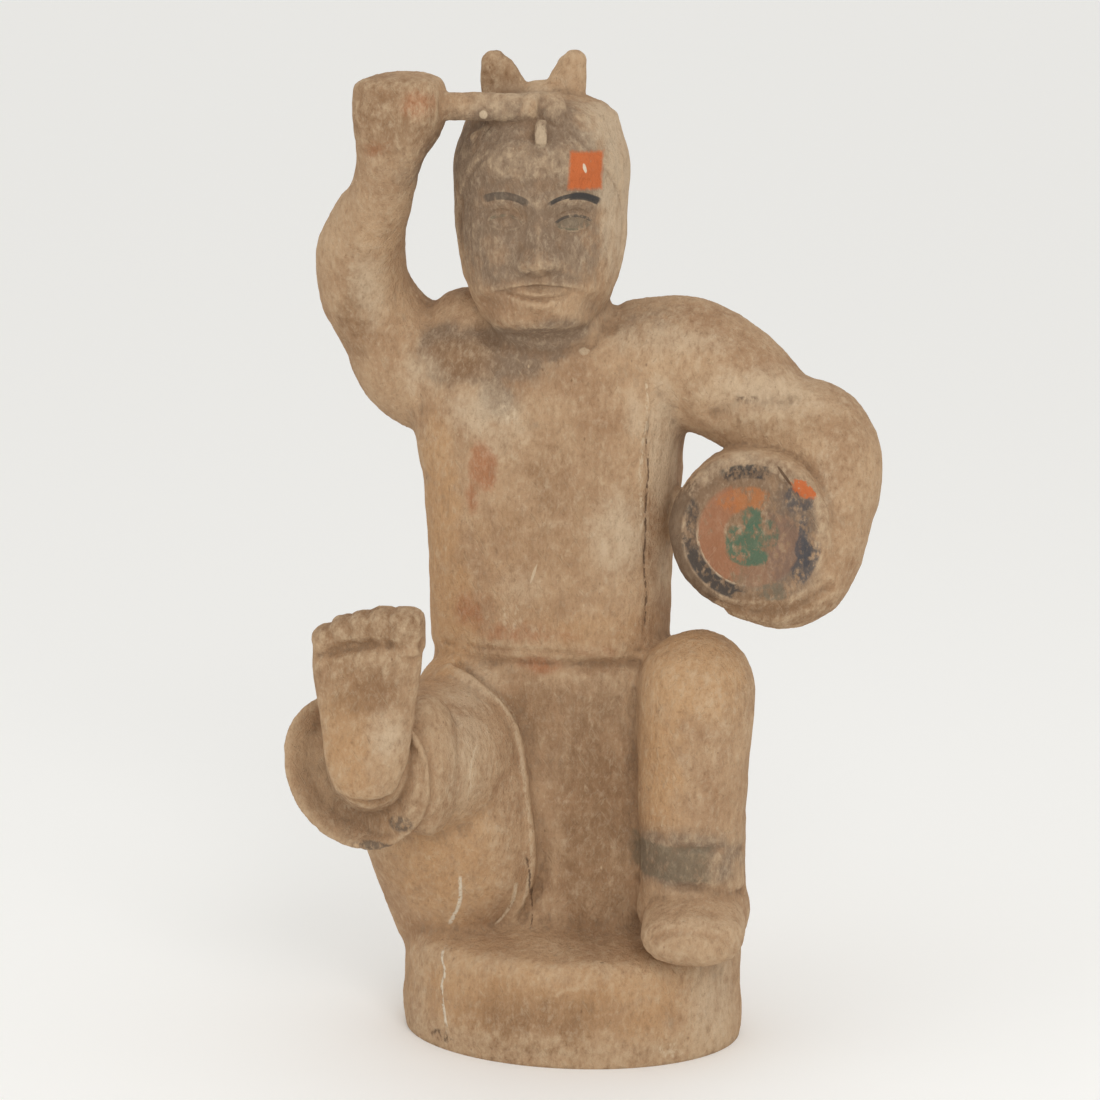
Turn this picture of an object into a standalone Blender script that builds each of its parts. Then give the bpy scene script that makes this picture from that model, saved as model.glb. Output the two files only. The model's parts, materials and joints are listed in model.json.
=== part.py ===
"""Terracotta drum dancer: a seated figure on an oval plinth, modelled and fired as one piece.

Blender 4.5, metres, +Z up. The figure faces -Y, and its left arm, with the drum, is at +X.
The origin is the middle of the plinth's underside.
"""

import math

import bmesh
import bpy
import numpy as np
from mathutils import Euler, Matrix, Vector

# Driving sizes, in metres
plinth_width = 0.199
plinth_depth = 0.156
plinth_height = 0.060
plinth_rounding = 0.009
body_height = 0.500
drum_diameter = 0.091
drum_thickness = 0.044
drum_head_recess = 0.0014
drum_rim = 0.009
stick_diameter = 0.0152
cuff_diameter = 0.092
cuff_recess = 0.008

# How finely the clay is fused, and how many faces are left of it
mass_voxel = 0.0034
mass_smoothing = 8
form_voxel = 0.0018
form_smoothing = 3
face_budget = 9800
ground_allowance = 0.0004

# The free form is written in shares of the body's height. At this size a share is a millimetre,
# and z counts from the plinth's top.
share = body_height / 500

# Where the drum, the raised foot's cuff and the head are, in shares
drum_centre = Vector((109, -23, 242))
drum_facing = Vector((0.07, -1, 0))
cuff_centre = Vector((-96.5, -104, 111.5))
cuff_facing = Vector((-0.20, -1, -0.10))
head_centre = Vector((-14, -16, 411))
head_turn = Euler((math.radians(2), 0, math.radians(13)))
stick_start = Vector((-98, -63, 472))
stick_end = Vector((-6, -52, 471.5))


def on_body(point):
    """A point of the body, from shares to metres."""
    return Vector(point) * share + Vector((0, 0, plinth_height))


def as_shares(metres):
    """A driving size, as shares."""
    return metres / share


def standing(origin, direction):
    """The place of a turned piece whose own +Z looks along direction."""
    return Matrix.Translation(origin) @ direction.to_track_quat("Z", "Y").to_matrix().to_4x4()


head_place = Matrix.Translation(head_centre) @ head_turn.to_matrix().to_4x4()
drum_place = standing(drum_centre, drum_facing)
cuff_place = standing(cuff_centre, cuff_facing)


# Shapes that the clay is built up from

def smooth_rows(rows, steps):
    """Rows of numbers with a smooth curve's rows put between them."""
    rows = np.array(rows, float)
    padded = np.vstack([2 * rows[0] - rows[1], rows, 2 * rows[-1] - rows[-2]])
    smooth = []
    for i in range(1, len(padded) - 2):
        before, start, end, after = padded[i - 1:i + 3]
        for t in np.arange(steps) / steps:
            smooth.append(0.5 * (2 * start + (end - before) * t
                                 + (2 * before - 5 * start + 4 * end - after) * t ** 2
                                 + (3 * start - before - 3 * end + after) * t ** 3))
    smooth.append(padded[-2])
    return np.array(smooth)


def skin(clay, loops):
    """Faces from loop to loop, with both ends closed."""
    sides = len(loops[0])
    for lower, upper in zip(loops, loops[1:]):
        for k in range(sides):
            clay.faces.new((lower[k], lower[(k + 1) % sides], upper[(k + 1) % sides], upper[k]))
    clay.faces.new(list(reversed(loops[0])))
    clay.faces.new(loops[-1])


def loft(clay, stations, facing=(0, -1, 0), square=2.0, ends=(0.8, 0.8), place=Matrix(),
         steps=5, sides=28):
    """A closed skin through stations (x, y, z, half width, half depth), with domed ends.

    Depth is measured along facing, and width across it. square is the section's exponent, 2 for
    an ellipse and more for a boxier one. ends gives each dome's height as a share of its section.
    """
    rows = smooth_rows(stations, steps)
    tangents = np.gradient(rows[:, :3], axis=0)
    dome = [math.radians(a) for a in (80, 60, 40, 20)]
    rings = [(0, -math.sin(a) * ends[0], math.cos(a)) for a in dome]
    rings += [(i, 0.0, 1.0) for i in range(len(rows))]
    rings += [(len(rows) - 1, math.sin(a) * ends[1], math.cos(a)) for a in reversed(dome)]
    loops = []
    for index, rise, shrink in rings:
        tangent = Vector(tangents[index]).normalized()
        front = Vector(facing)
        front = (front - front.dot(tangent) * tangent).normalized()
        side = front.cross(tangent)
        half_width, half_depth = rows[index, 3:5]
        centre = Vector(rows[index, :3]) + tangent * rise * (half_width + half_depth) / 2
        loop = []
        for k in range(sides):
            c, s = math.cos(2 * math.pi * k / sides), math.sin(2 * math.pi * k / sides)
            across = math.copysign(abs(c) ** (2 / square), c) * half_width * shrink
            ahead = math.copysign(abs(s) ** (2 / square), s) * half_depth * shrink
            loop.append(clay.verts.new(on_body(place @ (centre + side * across + front * ahead))))
        loops.append(loop)
    skin(clay, loops)


def blob(clay, centre, radii, turn=(0, 0, 0), place=Matrix()):
    """An ellipsoid, with its turn in degrees."""
    turned = Euler([math.radians(a) for a in turn]).to_matrix().to_4x4()
    matrix = place @ Matrix.Translation(centre) @ turned @ Matrix.Diagonal((*radii, 1))
    made = bmesh.ops.create_icosphere(clay, subdivisions=3, radius=1.0, matrix=matrix)
    for vertex in made["verts"]:
        vertex.co = on_body(vertex.co)


def wheel(clay, profile, place, sides=48):
    """A turned solid from rows (radius, height) along its own +Z, with flat ends."""
    turned = bmesh.new()
    outline = [turned.verts.new((radius, 0, height)) for radius, height in profile]
    edges = [turned.edges.new(pair) for pair in zip(outline, outline[1:])]
    bmesh.ops.spin(turned, geom=outline + edges, cent=(0, 0, 0), axis=(0, 0, 1),
                   angle=2 * math.pi, steps=sides, use_merge=True)
    bmesh.ops.holes_fill(turned, edges=turned.edges, sides=0)
    for vertex in turned.verts:
        vertex.co = on_body(place @ vertex.co)
    mesh = bpy.data.meshes.new("turned")
    turned.to_mesh(mesh)
    turned.free()
    clay.from_mesh(mesh)
    bpy.data.meshes.remove(mesh)


def drum_profile():
    radius, half = as_shares(drum_diameter) / 2, as_shares(drum_thickness) / 2
    rim, recess = as_shares(drum_rim), as_shares(drum_head_recess)
    return [(radius - 6, -half), (radius - 1.5, -half + 4), (radius, -half + 10), (radius, half - 9),
            (radius - 1.5, half - 3.5), (radius - 4.5, half - 0.4), (radius - rim, half),
            (radius - rim - 2, half - recess), (1, half - recess)]


def cuff_profile():
    radius, recess = as_shares(cuff_diameter) / 2, as_shares(cuff_recess)
    return [(30, -24), (36, -14), (radius - 3, -5), (radius, -1), (radius - 1, 1.6), (radius - 4, 1.2),
            (radius - 12, -recess * 0.7), (20, -recess), (1, -recess)]


# The figure's parts

def add_body(clay):
    # Skirt and hips, down into the plinth
    loft(clay, [(-13, 16, -12, 70, 46), (-13, 17, 20, 74, 48), (-14, 17, 60, 76, 47), (-15, 15, 100, 74, 45),
                (-15, 11, 135, 69, 42), (-14, 7, 163, 66.8, 40)], square=2.8, ends=(0.1, 0.12))
    # Chest and shoulders
    loft(clay, [(-14.5, 5, 166, 67.4, 41), (-14.5, 5, 174, 67.8, 41), (-14.2, 5, 190, 68.5, 41),
                (-14, 5, 225, 69.5, 43), (-13, 5, 262, 73, 44), (-14.5, 5, 290, 77, 43),
                (-12, 6, 318, 79, 41), (-7, 8, 343, 75, 34)], square=2.8, ends=(0.12, 0.36))
    # Neck, and the fold of the collar round it
    loft(clay, [(-12, 0, 335, 40, 36), (-13, -5, 352, 36, 34), (-14, -8, 374, 34, 34)])


def add_raised_arm(clay):
    loft(clay, [(-52, 8, 317, 37, 34), (-74, 7, 318, 38, 33), (-93.5, 4, 326, 36, 31), (-108.5, -1, 345, 28, 28),
                (-118.5, -9, 367, 26.5, 26), (-117, -20, 386, 25.5, 24), (-108.5, -34, 404, 22, 21),
                (-96.5, -47, 421, 18, 18), (-91, -55, 435, 17.5, 17), (-87.5, -60, 447, 19, 18),
                (-84, -62, 459, 22, 19.5)])


def add_drum_arm(clay):
    loft(clay, [(38, 8, 329, 35, 34), (64, 8, 328, 37, 34), (90, 5, 317, 34, 32), (117, 2, 298.5, 29, 29),
                (143, -2, 290.5, 27.5, 27), (152, -7, 270, 24.5, 26), (150, -12, 246, 21.5, 24),
                (145.5, -17, 226, 21, 23), (138, -22, 209, 19, 22), (125, -25, 199, 12, 21),
                (109, -26, 199, 8, 19)], ends=(0.8, 1.3))


def add_raised_leg(clay):
    # The thigh's great mass, in a full trouser leg
    loft(clay, [(-62, -2, -12, 35, 34), (-65, -6, 14, 43, 37), (-63, -13, 46, 54.5, 44), (-62, -18, 80, 51, 48),
                (-59, -18, 112, 43.5, 46), (-54, -12, 138, 32, 38)], square=2.2, ends=(0.1, 0.62))
    # The lower leg, stretched forwards
    loft(clay, [(-60, -22, 104, 44, 45), (-68, -50, 109, 42, 43), (-80, -76, 111, 40, 41),
                (-91, -93, 112, 42, 42)], facing=(0, 0, 1), ends=(0.5, 0.1))


def add_standing_leg(clay):
    loft(clay, [(74, -16, -8, 20, 18), (75, -20, 10, 27, 25), (76, -22, 17, 31, 29), (76, -23, 25, 32.5, 32),
                (76, -23, 38, 30, 30), (75.5, -23, 80, 30.5, 30), (76, -23, 120, 32, 31), (77, -22, 150, 33, 31)],
         ends=(0.15, 1.02))
    loft(clay, [(77, -14, 146, 29, 31), (62, 6, 136, 32, 33), (40, 18, 122, 34, 34)], facing=(0, 0, 1))


def add_plinth(clay):
    """The oval plinth, a little domed on top, going below the floor to be cut there."""
    width, depth = as_shares(plinth_width) / 2, as_shares(plinth_depth) / 2
    height, rounding = as_shares(plinth_height), as_shares(plinth_rounding)
    oval = Matrix.Diagonal((width, depth, 1, 1))
    wheel(clay, [(0.97, -height - 8), (0.99, -height + 4), (1.0, -height + 16), (0.985, -height * 0.5),
                 (0.985, -rounding), (0.965, -rounding * 0.35), (0.92, 0), (0.5, 6), (0.02, 6)], oval, sides=72)


def add_raised_foot(clay):
    wheel(clay, cuff_profile(), cuff_place)
    # The trouser leg, which runs into the cuff's inner side
    blob(clay, (-60, -88, 113), (18, 24, 40))
    # Ankle, and the foot with its sole to the front
    loft(clay, [(-90, -92, 113, 27, 27), (-83, -120, 120, 20, 24)], facing=(0, 0, 1), ends=(0.2, 0.2))
    loft(clay, [(-84, -125, 111, 18, 14), (-83.5, -127, 124, 22.5, 14), (-82.5, -128, 142, 25.5, 13),
                (-82, -128.5, 162, 28.5, 12), (-81.5, -129, 180, 30.5, 11.5), (-81, -129, 191, 31, 9)],
         square=2.4, ends=(0.5, 0.3))
    toes = [(-103, 188.5, 7.4, -1.6), (-92.5, 194, 7.4, -1), (-82, 197.5, 7.2, -0.6), (-71.5, 200, 7.4, 0),
            (-58.5, 199.5, 9.8, 0.4)]
    for x, z, half, lean in toes:
        loft(clay, [(x, -129, z - 12, half * 0.94, 9), (x, -131, z, half, 9.5),
                    (x + lean, -132.5, z + 6, half * 0.96, 8.5)], square=3.0, ends=(0.3, 0.55))


def add_standing_foot(clay):
    loft(clay, [(78, -22, 20, 27, 21), (81, -44, 19.5, 28.5, 19), (83, -60, 17, 28.5, 15.5)],
         facing=(0, 0, 1), square=2.3, ends=(0.3, 0.85))


def add_fist(clay):
    loft(clay, [(-86.5, -60, 445, 16, 15), (-84, -62, 456, 21, 19), (-81.2, -62, 470, 24.8, 21),
                (-81.5, -62, 482.5, 24, 18.5)], square=3.3, ends=(0.5, 0.36))
    for x, y, z in ((-97, -73, 469), (-86.5, -75, 470), (-76, -75, 470), (-65.5, -73, 469)):
        blob(clay, (x, y, z), (7.4, 7.8, 14))


def add_stick(clay):
    along = stick_end - stick_start
    radius = as_shares(stick_diameter) / 2
    wheel(clay, [(radius * 0.96, 0), (radius, along.length / 2), (radius * 0.98, along.length)],
          standing(stick_start, along), sides=24)


def add_drum(clay):
    wheel(clay, drum_profile(), drum_place)
    # Clay that joins the drum to the side of the chest
    blob(clay, (61, 0, 243), (7.5, 10, 16))


def add_head(clay):
    loft(clay, [(0, -14, -58, 28, 28), (0, -8, -48, 36.5, 39), (0, -4, -34, 41.5, 45), (0, 0, -14, 44.5, 48),
                (0, 2, 10, 46, 50), (0, 3, 30, 46, 50), (0, 4, 48, 39, 43)], ends=(0.35, 0.42), place=head_place)
    blob(clay, (0, -22, 30), (36, 28, 24), place=head_place)


def add_scarf(clay):
    """The headscarf over the whole head; the face's opening is cut from it."""
    loft(clay, [(0, 8, -44, 37, 40), (0, 5, -30, 44, 46), (0, 4, -10, 47.2, 51), (0, 4, 12, 48.2, 53.5),
                (0.5, 4.5, 32, 48.2, 52.5), (1, 5, 50, 42.5, 45)], ends=(0.2, 0.42), place=head_place)


def add_scarf_opening(clay):
    loft(clay, [(0, -110, -8, 46.5, 57), (0, -8, -8, 46.5, 57)], facing=(0, 0, 1), ends=(0.1, 0.25),
         place=head_place, sides=48)


def add_knot(clay):
    blob(clay, (0, 1, 63), (14, 9, 10.5), place=head_place)
    loft(clay, [(-17, 1, 58, 13, 8), (-20.5, 2, 69, 12.5, 7), (-24, 2.5, 79, 10, 6), (-26.5, 3, 85, 7, 5)],
         ends=(0.3, 0.8), place=head_place)
    loft(clay, [(11, 1, 58, 12, 8), (13.5, 2, 69, 11.2, 7), (16.5, 2.5, 79, 8.8, 6), (19, 3, 85, 6.2, 5)],
         ends=(0.3, 0.8), place=head_place)
    for side in (-1, 1):
        loft(clay, [(side * 4, -20, 62, 3.6, 3.6), (side * 20, -26, 55, 3.8, 3.8), (side * 36, -22, 44, 3, 3)],
             facing=(0, 0, 1), place=head_place)
    # The tab that hangs over the forehead, and the pleat that holds the stick's end
    loft(clay, [(1, -42.5, 55, 3.2, 2.6), (1, -46, 49, 3.6, 2.8), (1.2, -48, 43, 3.2, 2.6)], square=2.8,
         ends=(0.3, 0.3), place=head_place)
    blob(clay, (6.5, -31, 60), (8, 7, 10), turn=(-30, 0, 0), place=head_place)


# Relief that is pressed into the fused clay

def mound(x, z, centre, spread, height):
    """A soft mound, or with a negative height a hollow, on the front of the head."""
    return height * np.exp(-((x - centre[0]) / spread[0]) ** 2 - ((z - centre[1]) / spread[1]) ** 2)


def face_relief(x, z):
    """How far the calm, evenly proportioned face stands out, in shares, over the head's own x and z."""
    aside = np.abs(x)
    relief = mound(aside, z, (17, 14.5 - 0.010 * (aside - 15) ** 2), (15, 4.4), 2.4)
    relief += mound(aside, z, (19, 2), (13, 8), -4.6)
    relief += mound(aside, z, (18.5, 1), (9.5, 4.6), 4.4)
    relief += mound(aside, z, (25, -14), (14, 15), 1.6)
    relief += mound(x, z, (0, -37), (20, 13), 1.2)
    # The lower face comes forward to the lips and the chin
    jaw = np.clip((-30 - z) / 10, 0, 1)
    relief += 7.4 * jaw * jaw * (3 - 2 * jaw) * np.exp(-(x / 33) ** 4) * np.clip((z + 65) / 8, 0, 1)
    # Nose: a ridge that grows down to its tip, and the wings
    down = np.clip((16 - z) / 38, 0, 1)
    under = np.clip((z + 29) / 7, 0, 1)
    relief += (2.0 + 7.5 * down ** 1.2) * np.exp(-(x / (4.6 + 3.0 * down)) ** 2) \
        * under * under * (3 - 2 * under) * np.clip((22 - z) / 12, 0, 1)
    relief += mound(aside, z, (8.2, -20.5), (3.8, 4.6), 3.8)
    # Lips and chin
    bow = z + 36.6 + 0.8 * np.exp(-(x / 3) ** 2) - 0.008 * x ** 2
    relief += 2.6 * np.exp(-(x / 13) ** 4 - (bow / 3.1) ** 2)
    relief += 2.9 * np.exp(-(x / 11) ** 4 - ((z + 43.8 - 0.011 * x ** 2) / 3.3) ** 2)
    relief -= 2.0 * np.exp(-(x / 15) ** 4 - ((z + 40.2 - 0.008 * x ** 2) / 1.5) ** 2)
    relief += mound(x, z, (0, -50.5), (14, 4), -1.4)
    relief += mound(x, z, (0, -58), (15, 9), 2.6)
    relief += mound(x, z, (0, -31), (2.4, 3.5), -0.7)
    return relief


def press_face(points):
    """Move the points of the head's front by the face's relief."""
    to_head = np.array((head_place @ Matrix.Diagonal((1, 1, 1, 1))).inverted())
    own = points @ to_head[:3, :3].T + to_head[:3, 3]
    x, y, z = own.T
    front = np.clip((-y - 14) / 14, 0, 1) * np.clip((46 - np.abs(x)) / 6, 0, 1)
    front *= np.clip((z + 70) / 8, 0, 1) * np.clip((44 - z) / 8, 0, 1)
    ahead = np.array(head_place.to_3x3() @ Vector((0, -1, 0)))
    return points + (front * face_relief(x, z))[:, None] * ahead


def along_path(points, path, reach):
    """How much each point belongs to a stroke along the path, from 1 on it to 0 at its reach."""
    path = smooth_rows(path, 6)
    nearest = np.full(len(points), np.inf)
    for start, end in zip(path, path[1:]):
        step = end - start
        t = np.clip((points - start) @ step / (step @ step), 0, 1)
        nearest = np.minimum(nearest, np.linalg.norm(points - start - t[:, None] * step, axis=1))
    return np.clip(1 - (nearest / reach) ** 2, 0, 1) ** 2


# Strokes of the modelling tool: the path in shares, its reach, and how far it raises or sinks the clay
thigh_hem = [(-62, -39, 157), (-43, -45, 150), (-29, -41, 137), (-21, -38, 117), (-16, -40, 84), (-14, -37, 54),
             (-17, -34, 32), (-27, -33, 12)]
strokes = [
    (thigh_hem, 5, 2.1),
    ([(x + 6, y + 3.5, z) for x, y, z in thigh_hem], 5.5, -2.4),
    ([(-70, -26, 169), (-33, -35, 168), (2, -35, 168), (44, -22, 170)], 4, -1.3),
    ([(-47, -24, 349), (-34, -31, 341), (-7, -36, 336), (16, -27, 341), (26, -18, 351)], 6, -2.4),
    ([(45, -27, 59), (80, -52, 66), (105, -29, 61)], 4, -1.3),
    ([(44, -27, 39), (80, -52, 43), (106, -29, 36)], 4.5, -2.2),
    ([(-106, -138, 183), (-91, -139, 188), (-72, -137, 191), (-50, -132, 191)], 5, -2.6),
    ([(85, -24, 305), (103, -26, 312), (127, -18, 312)], 9, -2.0),
    ([(88, -44, 205), (103, -45, 200), (119, -44, 199), (136, -43, 203), (152, -37, 214)], 5, -2.0),
    ([(66, -76, 20), (74, -77, 24), (85, -77, 26), (97, -75, 24), (106, -70, 20)], 4.5, -1.8),
    ([(-92, -82, 462), (-92, -84, 482)], 3, -0.8),
    ([(-81.5, -83, 461), (-81.5, -85, 483)], 3, -0.8),
    ([(-71, -82, 461), (-71, -84, 482)], 3, -0.8),
]


def press(mesh):
    """Shape the face and the strokes in the fused clay."""
    flat = np.empty(len(mesh.vertices) * 3)
    mesh.vertices.foreach_get("co", flat)
    points = (flat.reshape(-1, 3) - (0, 0, plinth_height)) / share
    normals = np.empty(len(mesh.vertices) * 3)
    mesh.vertices.foreach_get("normal", normals)
    normals = normals.reshape(-1, 3)
    for path, reach, height in strokes:
        points = points + (height * along_path(points, path, reach))[:, None] * normals
    points = press_face(points)
    mesh.vertices.foreach_set("co", (points * share + (0, 0, plinth_height)).ravel())
    mesh.update()


# Building

def new_object(name, adders, collection):
    """The clay of the named parts as an object, with its faces turned outwards."""
    clay = bmesh.new()
    for add in adders:
        add(clay)
    bmesh.ops.recalc_face_normals(clay, faces=clay.faces)
    mesh = bpy.data.meshes.new(name)
    clay.to_mesh(mesh)
    clay.free()
    obj = bpy.data.objects.new(name, mesh)
    collection.objects.link(obj)
    return obj


def settled(obj):
    """The object's mesh with its modifiers applied."""
    graph = bpy.context.evaluated_depsgraph_get()
    return bpy.data.meshes.new_from_object(obj.evaluated_get(graph), depsgraph=graph)


def fuse(obj, voxel, smoothing):
    """Fuse overlapping clay into one skin, and soften it."""
    remesh = obj.modifiers.new("fuse", "REMESH")
    remesh.mode = "VOXEL"
    remesh.voxel_size = voxel
    soften = obj.modifiers.new("soften", "SMOOTH")
    soften.factor = 0.5
    soften.iterations = smoothing


def subtract(obj, cutter):
    """Cut with an exact Boolean."""
    cut = obj.modifiers.new("cut by " + cutter.name, "BOOLEAN")
    cut.operation = "DIFFERENCE"
    cut.solver = "EXACT"
    cut.object = cutter


def ground_slab(name, top, collection):
    """A slab under the plinth with its top at the height given."""
    clay = bmesh.new()
    half = plinth_width
    bmesh.ops.create_cube(clay, size=1, matrix=Matrix.Translation((0, 0, top - half / 2))
                          @ Matrix.Diagonal((half * 3, half * 3, half, 1)))
    mesh = bpy.data.meshes.new(name)
    clay.to_mesh(mesh)
    clay.free()
    slab = bpy.data.objects.new(name, mesh)
    collection.objects.link(slab)
    return slab


def join_mesh(obj, mesh):
    """Add a mesh to the object's own."""
    clay = bmesh.new()
    clay.from_mesh(obj.data)
    clay.from_mesh(mesh)
    clay.to_mesh(obj.data)
    clay.free()


def fill_inside(mesh):
    """Keep the outer skin alone, so that no air is shut in between the pieces of clay."""
    clay = bmesh.new()
    clay.from_mesh(mesh)
    unseen, skins = set(clay.verts), []
    while unseen:
        island, edge = set(), {unseen.pop()}
        while edge:
            island |= edge
            edge = {e.other_vert(v) for v in edge for e in v.link_edges} - island
        unseen -= island
        skins.append(island)
    outer = max(skins, key=len)
    bmesh.ops.delete(clay, geom=[v for v in clay.verts if v not in outer], context="VERTS")
    clay.to_mesh(mesh)
    clay.free()


def terracotta():
    material = bpy.data.materials.new("unglazed terracotta")
    material.use_nodes = True
    shader = material.node_tree.nodes["Principled BSDF"]
    shader.inputs["Base Color"].default_value = (0.38, 0.24, 0.14, 1)
    shader.inputs["Roughness"].default_value = 0.88
    return material


def main():
    for obj in list(bpy.data.objects):
        bpy.data.objects.remove(obj, do_unlink=True)
    parts = bpy.data.collections.new("drum_dancer")
    tools = bpy.data.collections.new("drum_dancer_tools")
    for collection in (parts, tools):
        bpy.context.scene.collection.children.link(collection)

    masses = new_object("masses", [add_body, add_raised_arm, add_drum_arm, add_raised_leg, add_standing_leg,
                                   add_plinth], tools)
    fuse(masses, mass_voxel, mass_smoothing)

    scarf = new_object("scarf", [add_scarf], tools)
    scarf_opening = new_object("scarf_opening", [add_scarf_opening], tools)
    subtract(scarf, scarf_opening)

    fused = new_object("fused", [add_head, add_raised_foot, add_standing_foot, add_fist, add_stick, add_drum,
                                 add_knot], tools)
    for piece in (masses, scarf):
        join_mesh(fused, settled(piece))
    fuse(fused, form_voxel, form_smoothing)

    trimmed = ground_slab("first_ground", -ground_allowance, tools)
    subtract(fused, trimmed)

    figure = bpy.data.objects.new("drum_dancer_figure", settled(fused))
    parts.objects.link(figure)
    fill_inside(figure.data)
    press(figure.data)
    thin = figure.modifiers.new("thin out", "DECIMATE")
    thin.ratio = face_budget / sum(len(face.vertices) - 2 for face in figure.data.polygons)
    subtract(figure, ground_slab("ground", 0, tools))

    clay_look = terracotta()
    for tool in tools.objects:
        tool.hide_render = True
        tool.display_type = "WIRE"
        tool.data.materials.append(clay_look)
    figure.data.materials.clear()
    figure.data.materials.append(clay_look)


main()
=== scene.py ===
import json
import math
from functools import partial

import bmesh
import bpy
import numpy as np
from mathutils import Euler, Matrix, Vector

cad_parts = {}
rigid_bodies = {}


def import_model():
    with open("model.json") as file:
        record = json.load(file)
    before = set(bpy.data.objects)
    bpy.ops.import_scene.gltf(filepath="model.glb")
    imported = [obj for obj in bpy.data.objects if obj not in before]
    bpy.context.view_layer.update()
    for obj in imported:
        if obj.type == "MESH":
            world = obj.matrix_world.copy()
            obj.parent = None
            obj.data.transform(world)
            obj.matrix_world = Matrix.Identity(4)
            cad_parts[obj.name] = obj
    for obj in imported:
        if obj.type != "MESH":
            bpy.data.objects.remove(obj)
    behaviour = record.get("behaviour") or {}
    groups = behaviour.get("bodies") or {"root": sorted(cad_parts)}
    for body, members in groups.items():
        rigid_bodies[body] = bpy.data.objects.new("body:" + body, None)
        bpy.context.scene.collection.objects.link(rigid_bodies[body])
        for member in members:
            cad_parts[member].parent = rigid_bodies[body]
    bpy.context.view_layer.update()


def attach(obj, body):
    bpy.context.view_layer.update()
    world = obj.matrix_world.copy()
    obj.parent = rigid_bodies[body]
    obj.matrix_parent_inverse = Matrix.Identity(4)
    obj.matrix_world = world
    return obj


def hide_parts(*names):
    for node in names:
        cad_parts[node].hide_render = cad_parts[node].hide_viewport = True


for leftOver in list(bpy.data.objects):
    bpy.data.objects.remove(leftOver, do_unlink=True)
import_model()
figureNode = "drum_dancer_figure"
print("frame loaded")

# Sizes of the solid, in metres
plinth = {"width": 0.199, "depth": 0.156, "height": 0.060, "rounding": 0.009}
drum = {"diameter": 0.091, "thickness": 0.044, "recess": 0.0014, "rim": 0.009,
        "centre": (109, -23, 242), "facing": (0.07, -1, 0)}
stick = {"diameter": 0.0152, "start": (-98, -63, 472), "end": (-6, -52, 471.5)}
cuff = {"diameter": 0.092, "recess": 0.008, "centre": (-96.5, -104, 111.5), "facing": (-0.20, -1, -0.10)}
head = {"centre": (-14, -16, 411), "turn": (2, 0, 13)}
body = {"height": 0.500}

# How finely the clay is fused: the looks have under 200,000 triangles
clayGrain = {"massVoxel": 0.0026, "massSmoothing": 14, "formVoxel": 0.00125, "formSmoothing": 4,
             "triangles": 194000}

# The free form is written in shares of the body's height: a share is a millimetre here,
# and z counts from the plinth's top.
share = body["height"] / 500


def onBody(point):
    return Vector(point) * share + Vector((0, 0, plinth["height"]))


def standing(origin, direction):  # the place of a turned piece whose own +Z looks along direction
    return Matrix.Translation(origin) @ Vector(direction).to_track_quat("Z", "Y").to_matrix().to_4x4()


headTurn = Euler([math.radians(a) for a in head["turn"]])
headPlace = Matrix.Translation(head["centre"]) @ headTurn.to_matrix().to_4x4()
drumPlace = standing(drum["centre"], drum["facing"])
cuffPlace = standing(cuff["centre"], cuff["facing"])


def smoothRows(rows, steps):
    rows = np.array(rows, float)
    padded = np.vstack([2 * rows[0] - rows[1], rows, 2 * rows[-1] - rows[-2]])
    smooth = []
    for i in range(1, len(padded) - 2):
        before, start, end, after = padded[i - 1:i + 3]
        for t in np.arange(steps) / steps:
            smooth.append(0.5 * (2 * start + (end - before) * t
                                 + (2 * before - 5 * start + 4 * end - after) * t ** 2
                                 + (3 * start - before - 3 * end + after) * t ** 3))
    smooth.append(padded[-2])
    return np.array(smooth)


def loft(clay, stations, facing=(0, -1, 0), square=2.0, ends=(0.8, 0.8), place=Matrix(), steps=7, sides=40):
    # stations are (x, y, z, half width, half depth); the ends are domes
    rows = smoothRows(stations, steps)
    tangents = np.gradient(rows[:, :3], axis=0)
    dome = [math.radians(a) for a in (80, 60, 40, 20)]
    rings = [(0, -math.sin(a) * ends[0], math.cos(a)) for a in dome]
    rings += [(i, 0.0, 1.0) for i in range(len(rows))]
    rings += [(len(rows) - 1, math.sin(a) * ends[1], math.cos(a)) for a in reversed(dome)]
    loops = []
    for index, rise, shrink in rings:
        tangent = Vector(tangents[index]).normalized()
        front = Vector(facing)
        front = (front - front.dot(tangent) * tangent).normalized()
        side = front.cross(tangent)
        halfWidth, halfDepth = rows[index, 3:5]
        centre = Vector(rows[index, :3]) + tangent * rise * (halfWidth + halfDepth) / 2
        loop = []
        for k in range(sides):
            c, s = math.cos(2 * math.pi * k / sides), math.sin(2 * math.pi * k / sides)
            across = math.copysign(abs(c) ** (2 / square), c) * halfWidth * shrink
            ahead = math.copysign(abs(s) ** (2 / square), s) * halfDepth * shrink
            loop.append(clay.verts.new(onBody(place @ (centre + side * across + front * ahead))))
        loops.append(loop)
    for lower, upper in zip(loops, loops[1:]):
        for k in range(sides):
            clay.faces.new((lower[k], lower[(k + 1) % sides], upper[(k + 1) % sides], upper[k]))
    clay.faces.new(list(reversed(loops[0])))
    clay.faces.new(loops[-1])


def blob(clay, centre, radii, turn=(0, 0, 0), place=Matrix()):
    turned = Euler([math.radians(a) for a in turn]).to_matrix().to_4x4()
    matrix = place @ Matrix.Translation(centre) @ turned @ Matrix.Diagonal((*radii, 1))
    for vertex in bmesh.ops.create_icosphere(clay, subdivisions=4, radius=1.0, matrix=matrix)["verts"]:
        vertex.co = onBody(vertex.co)


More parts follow.
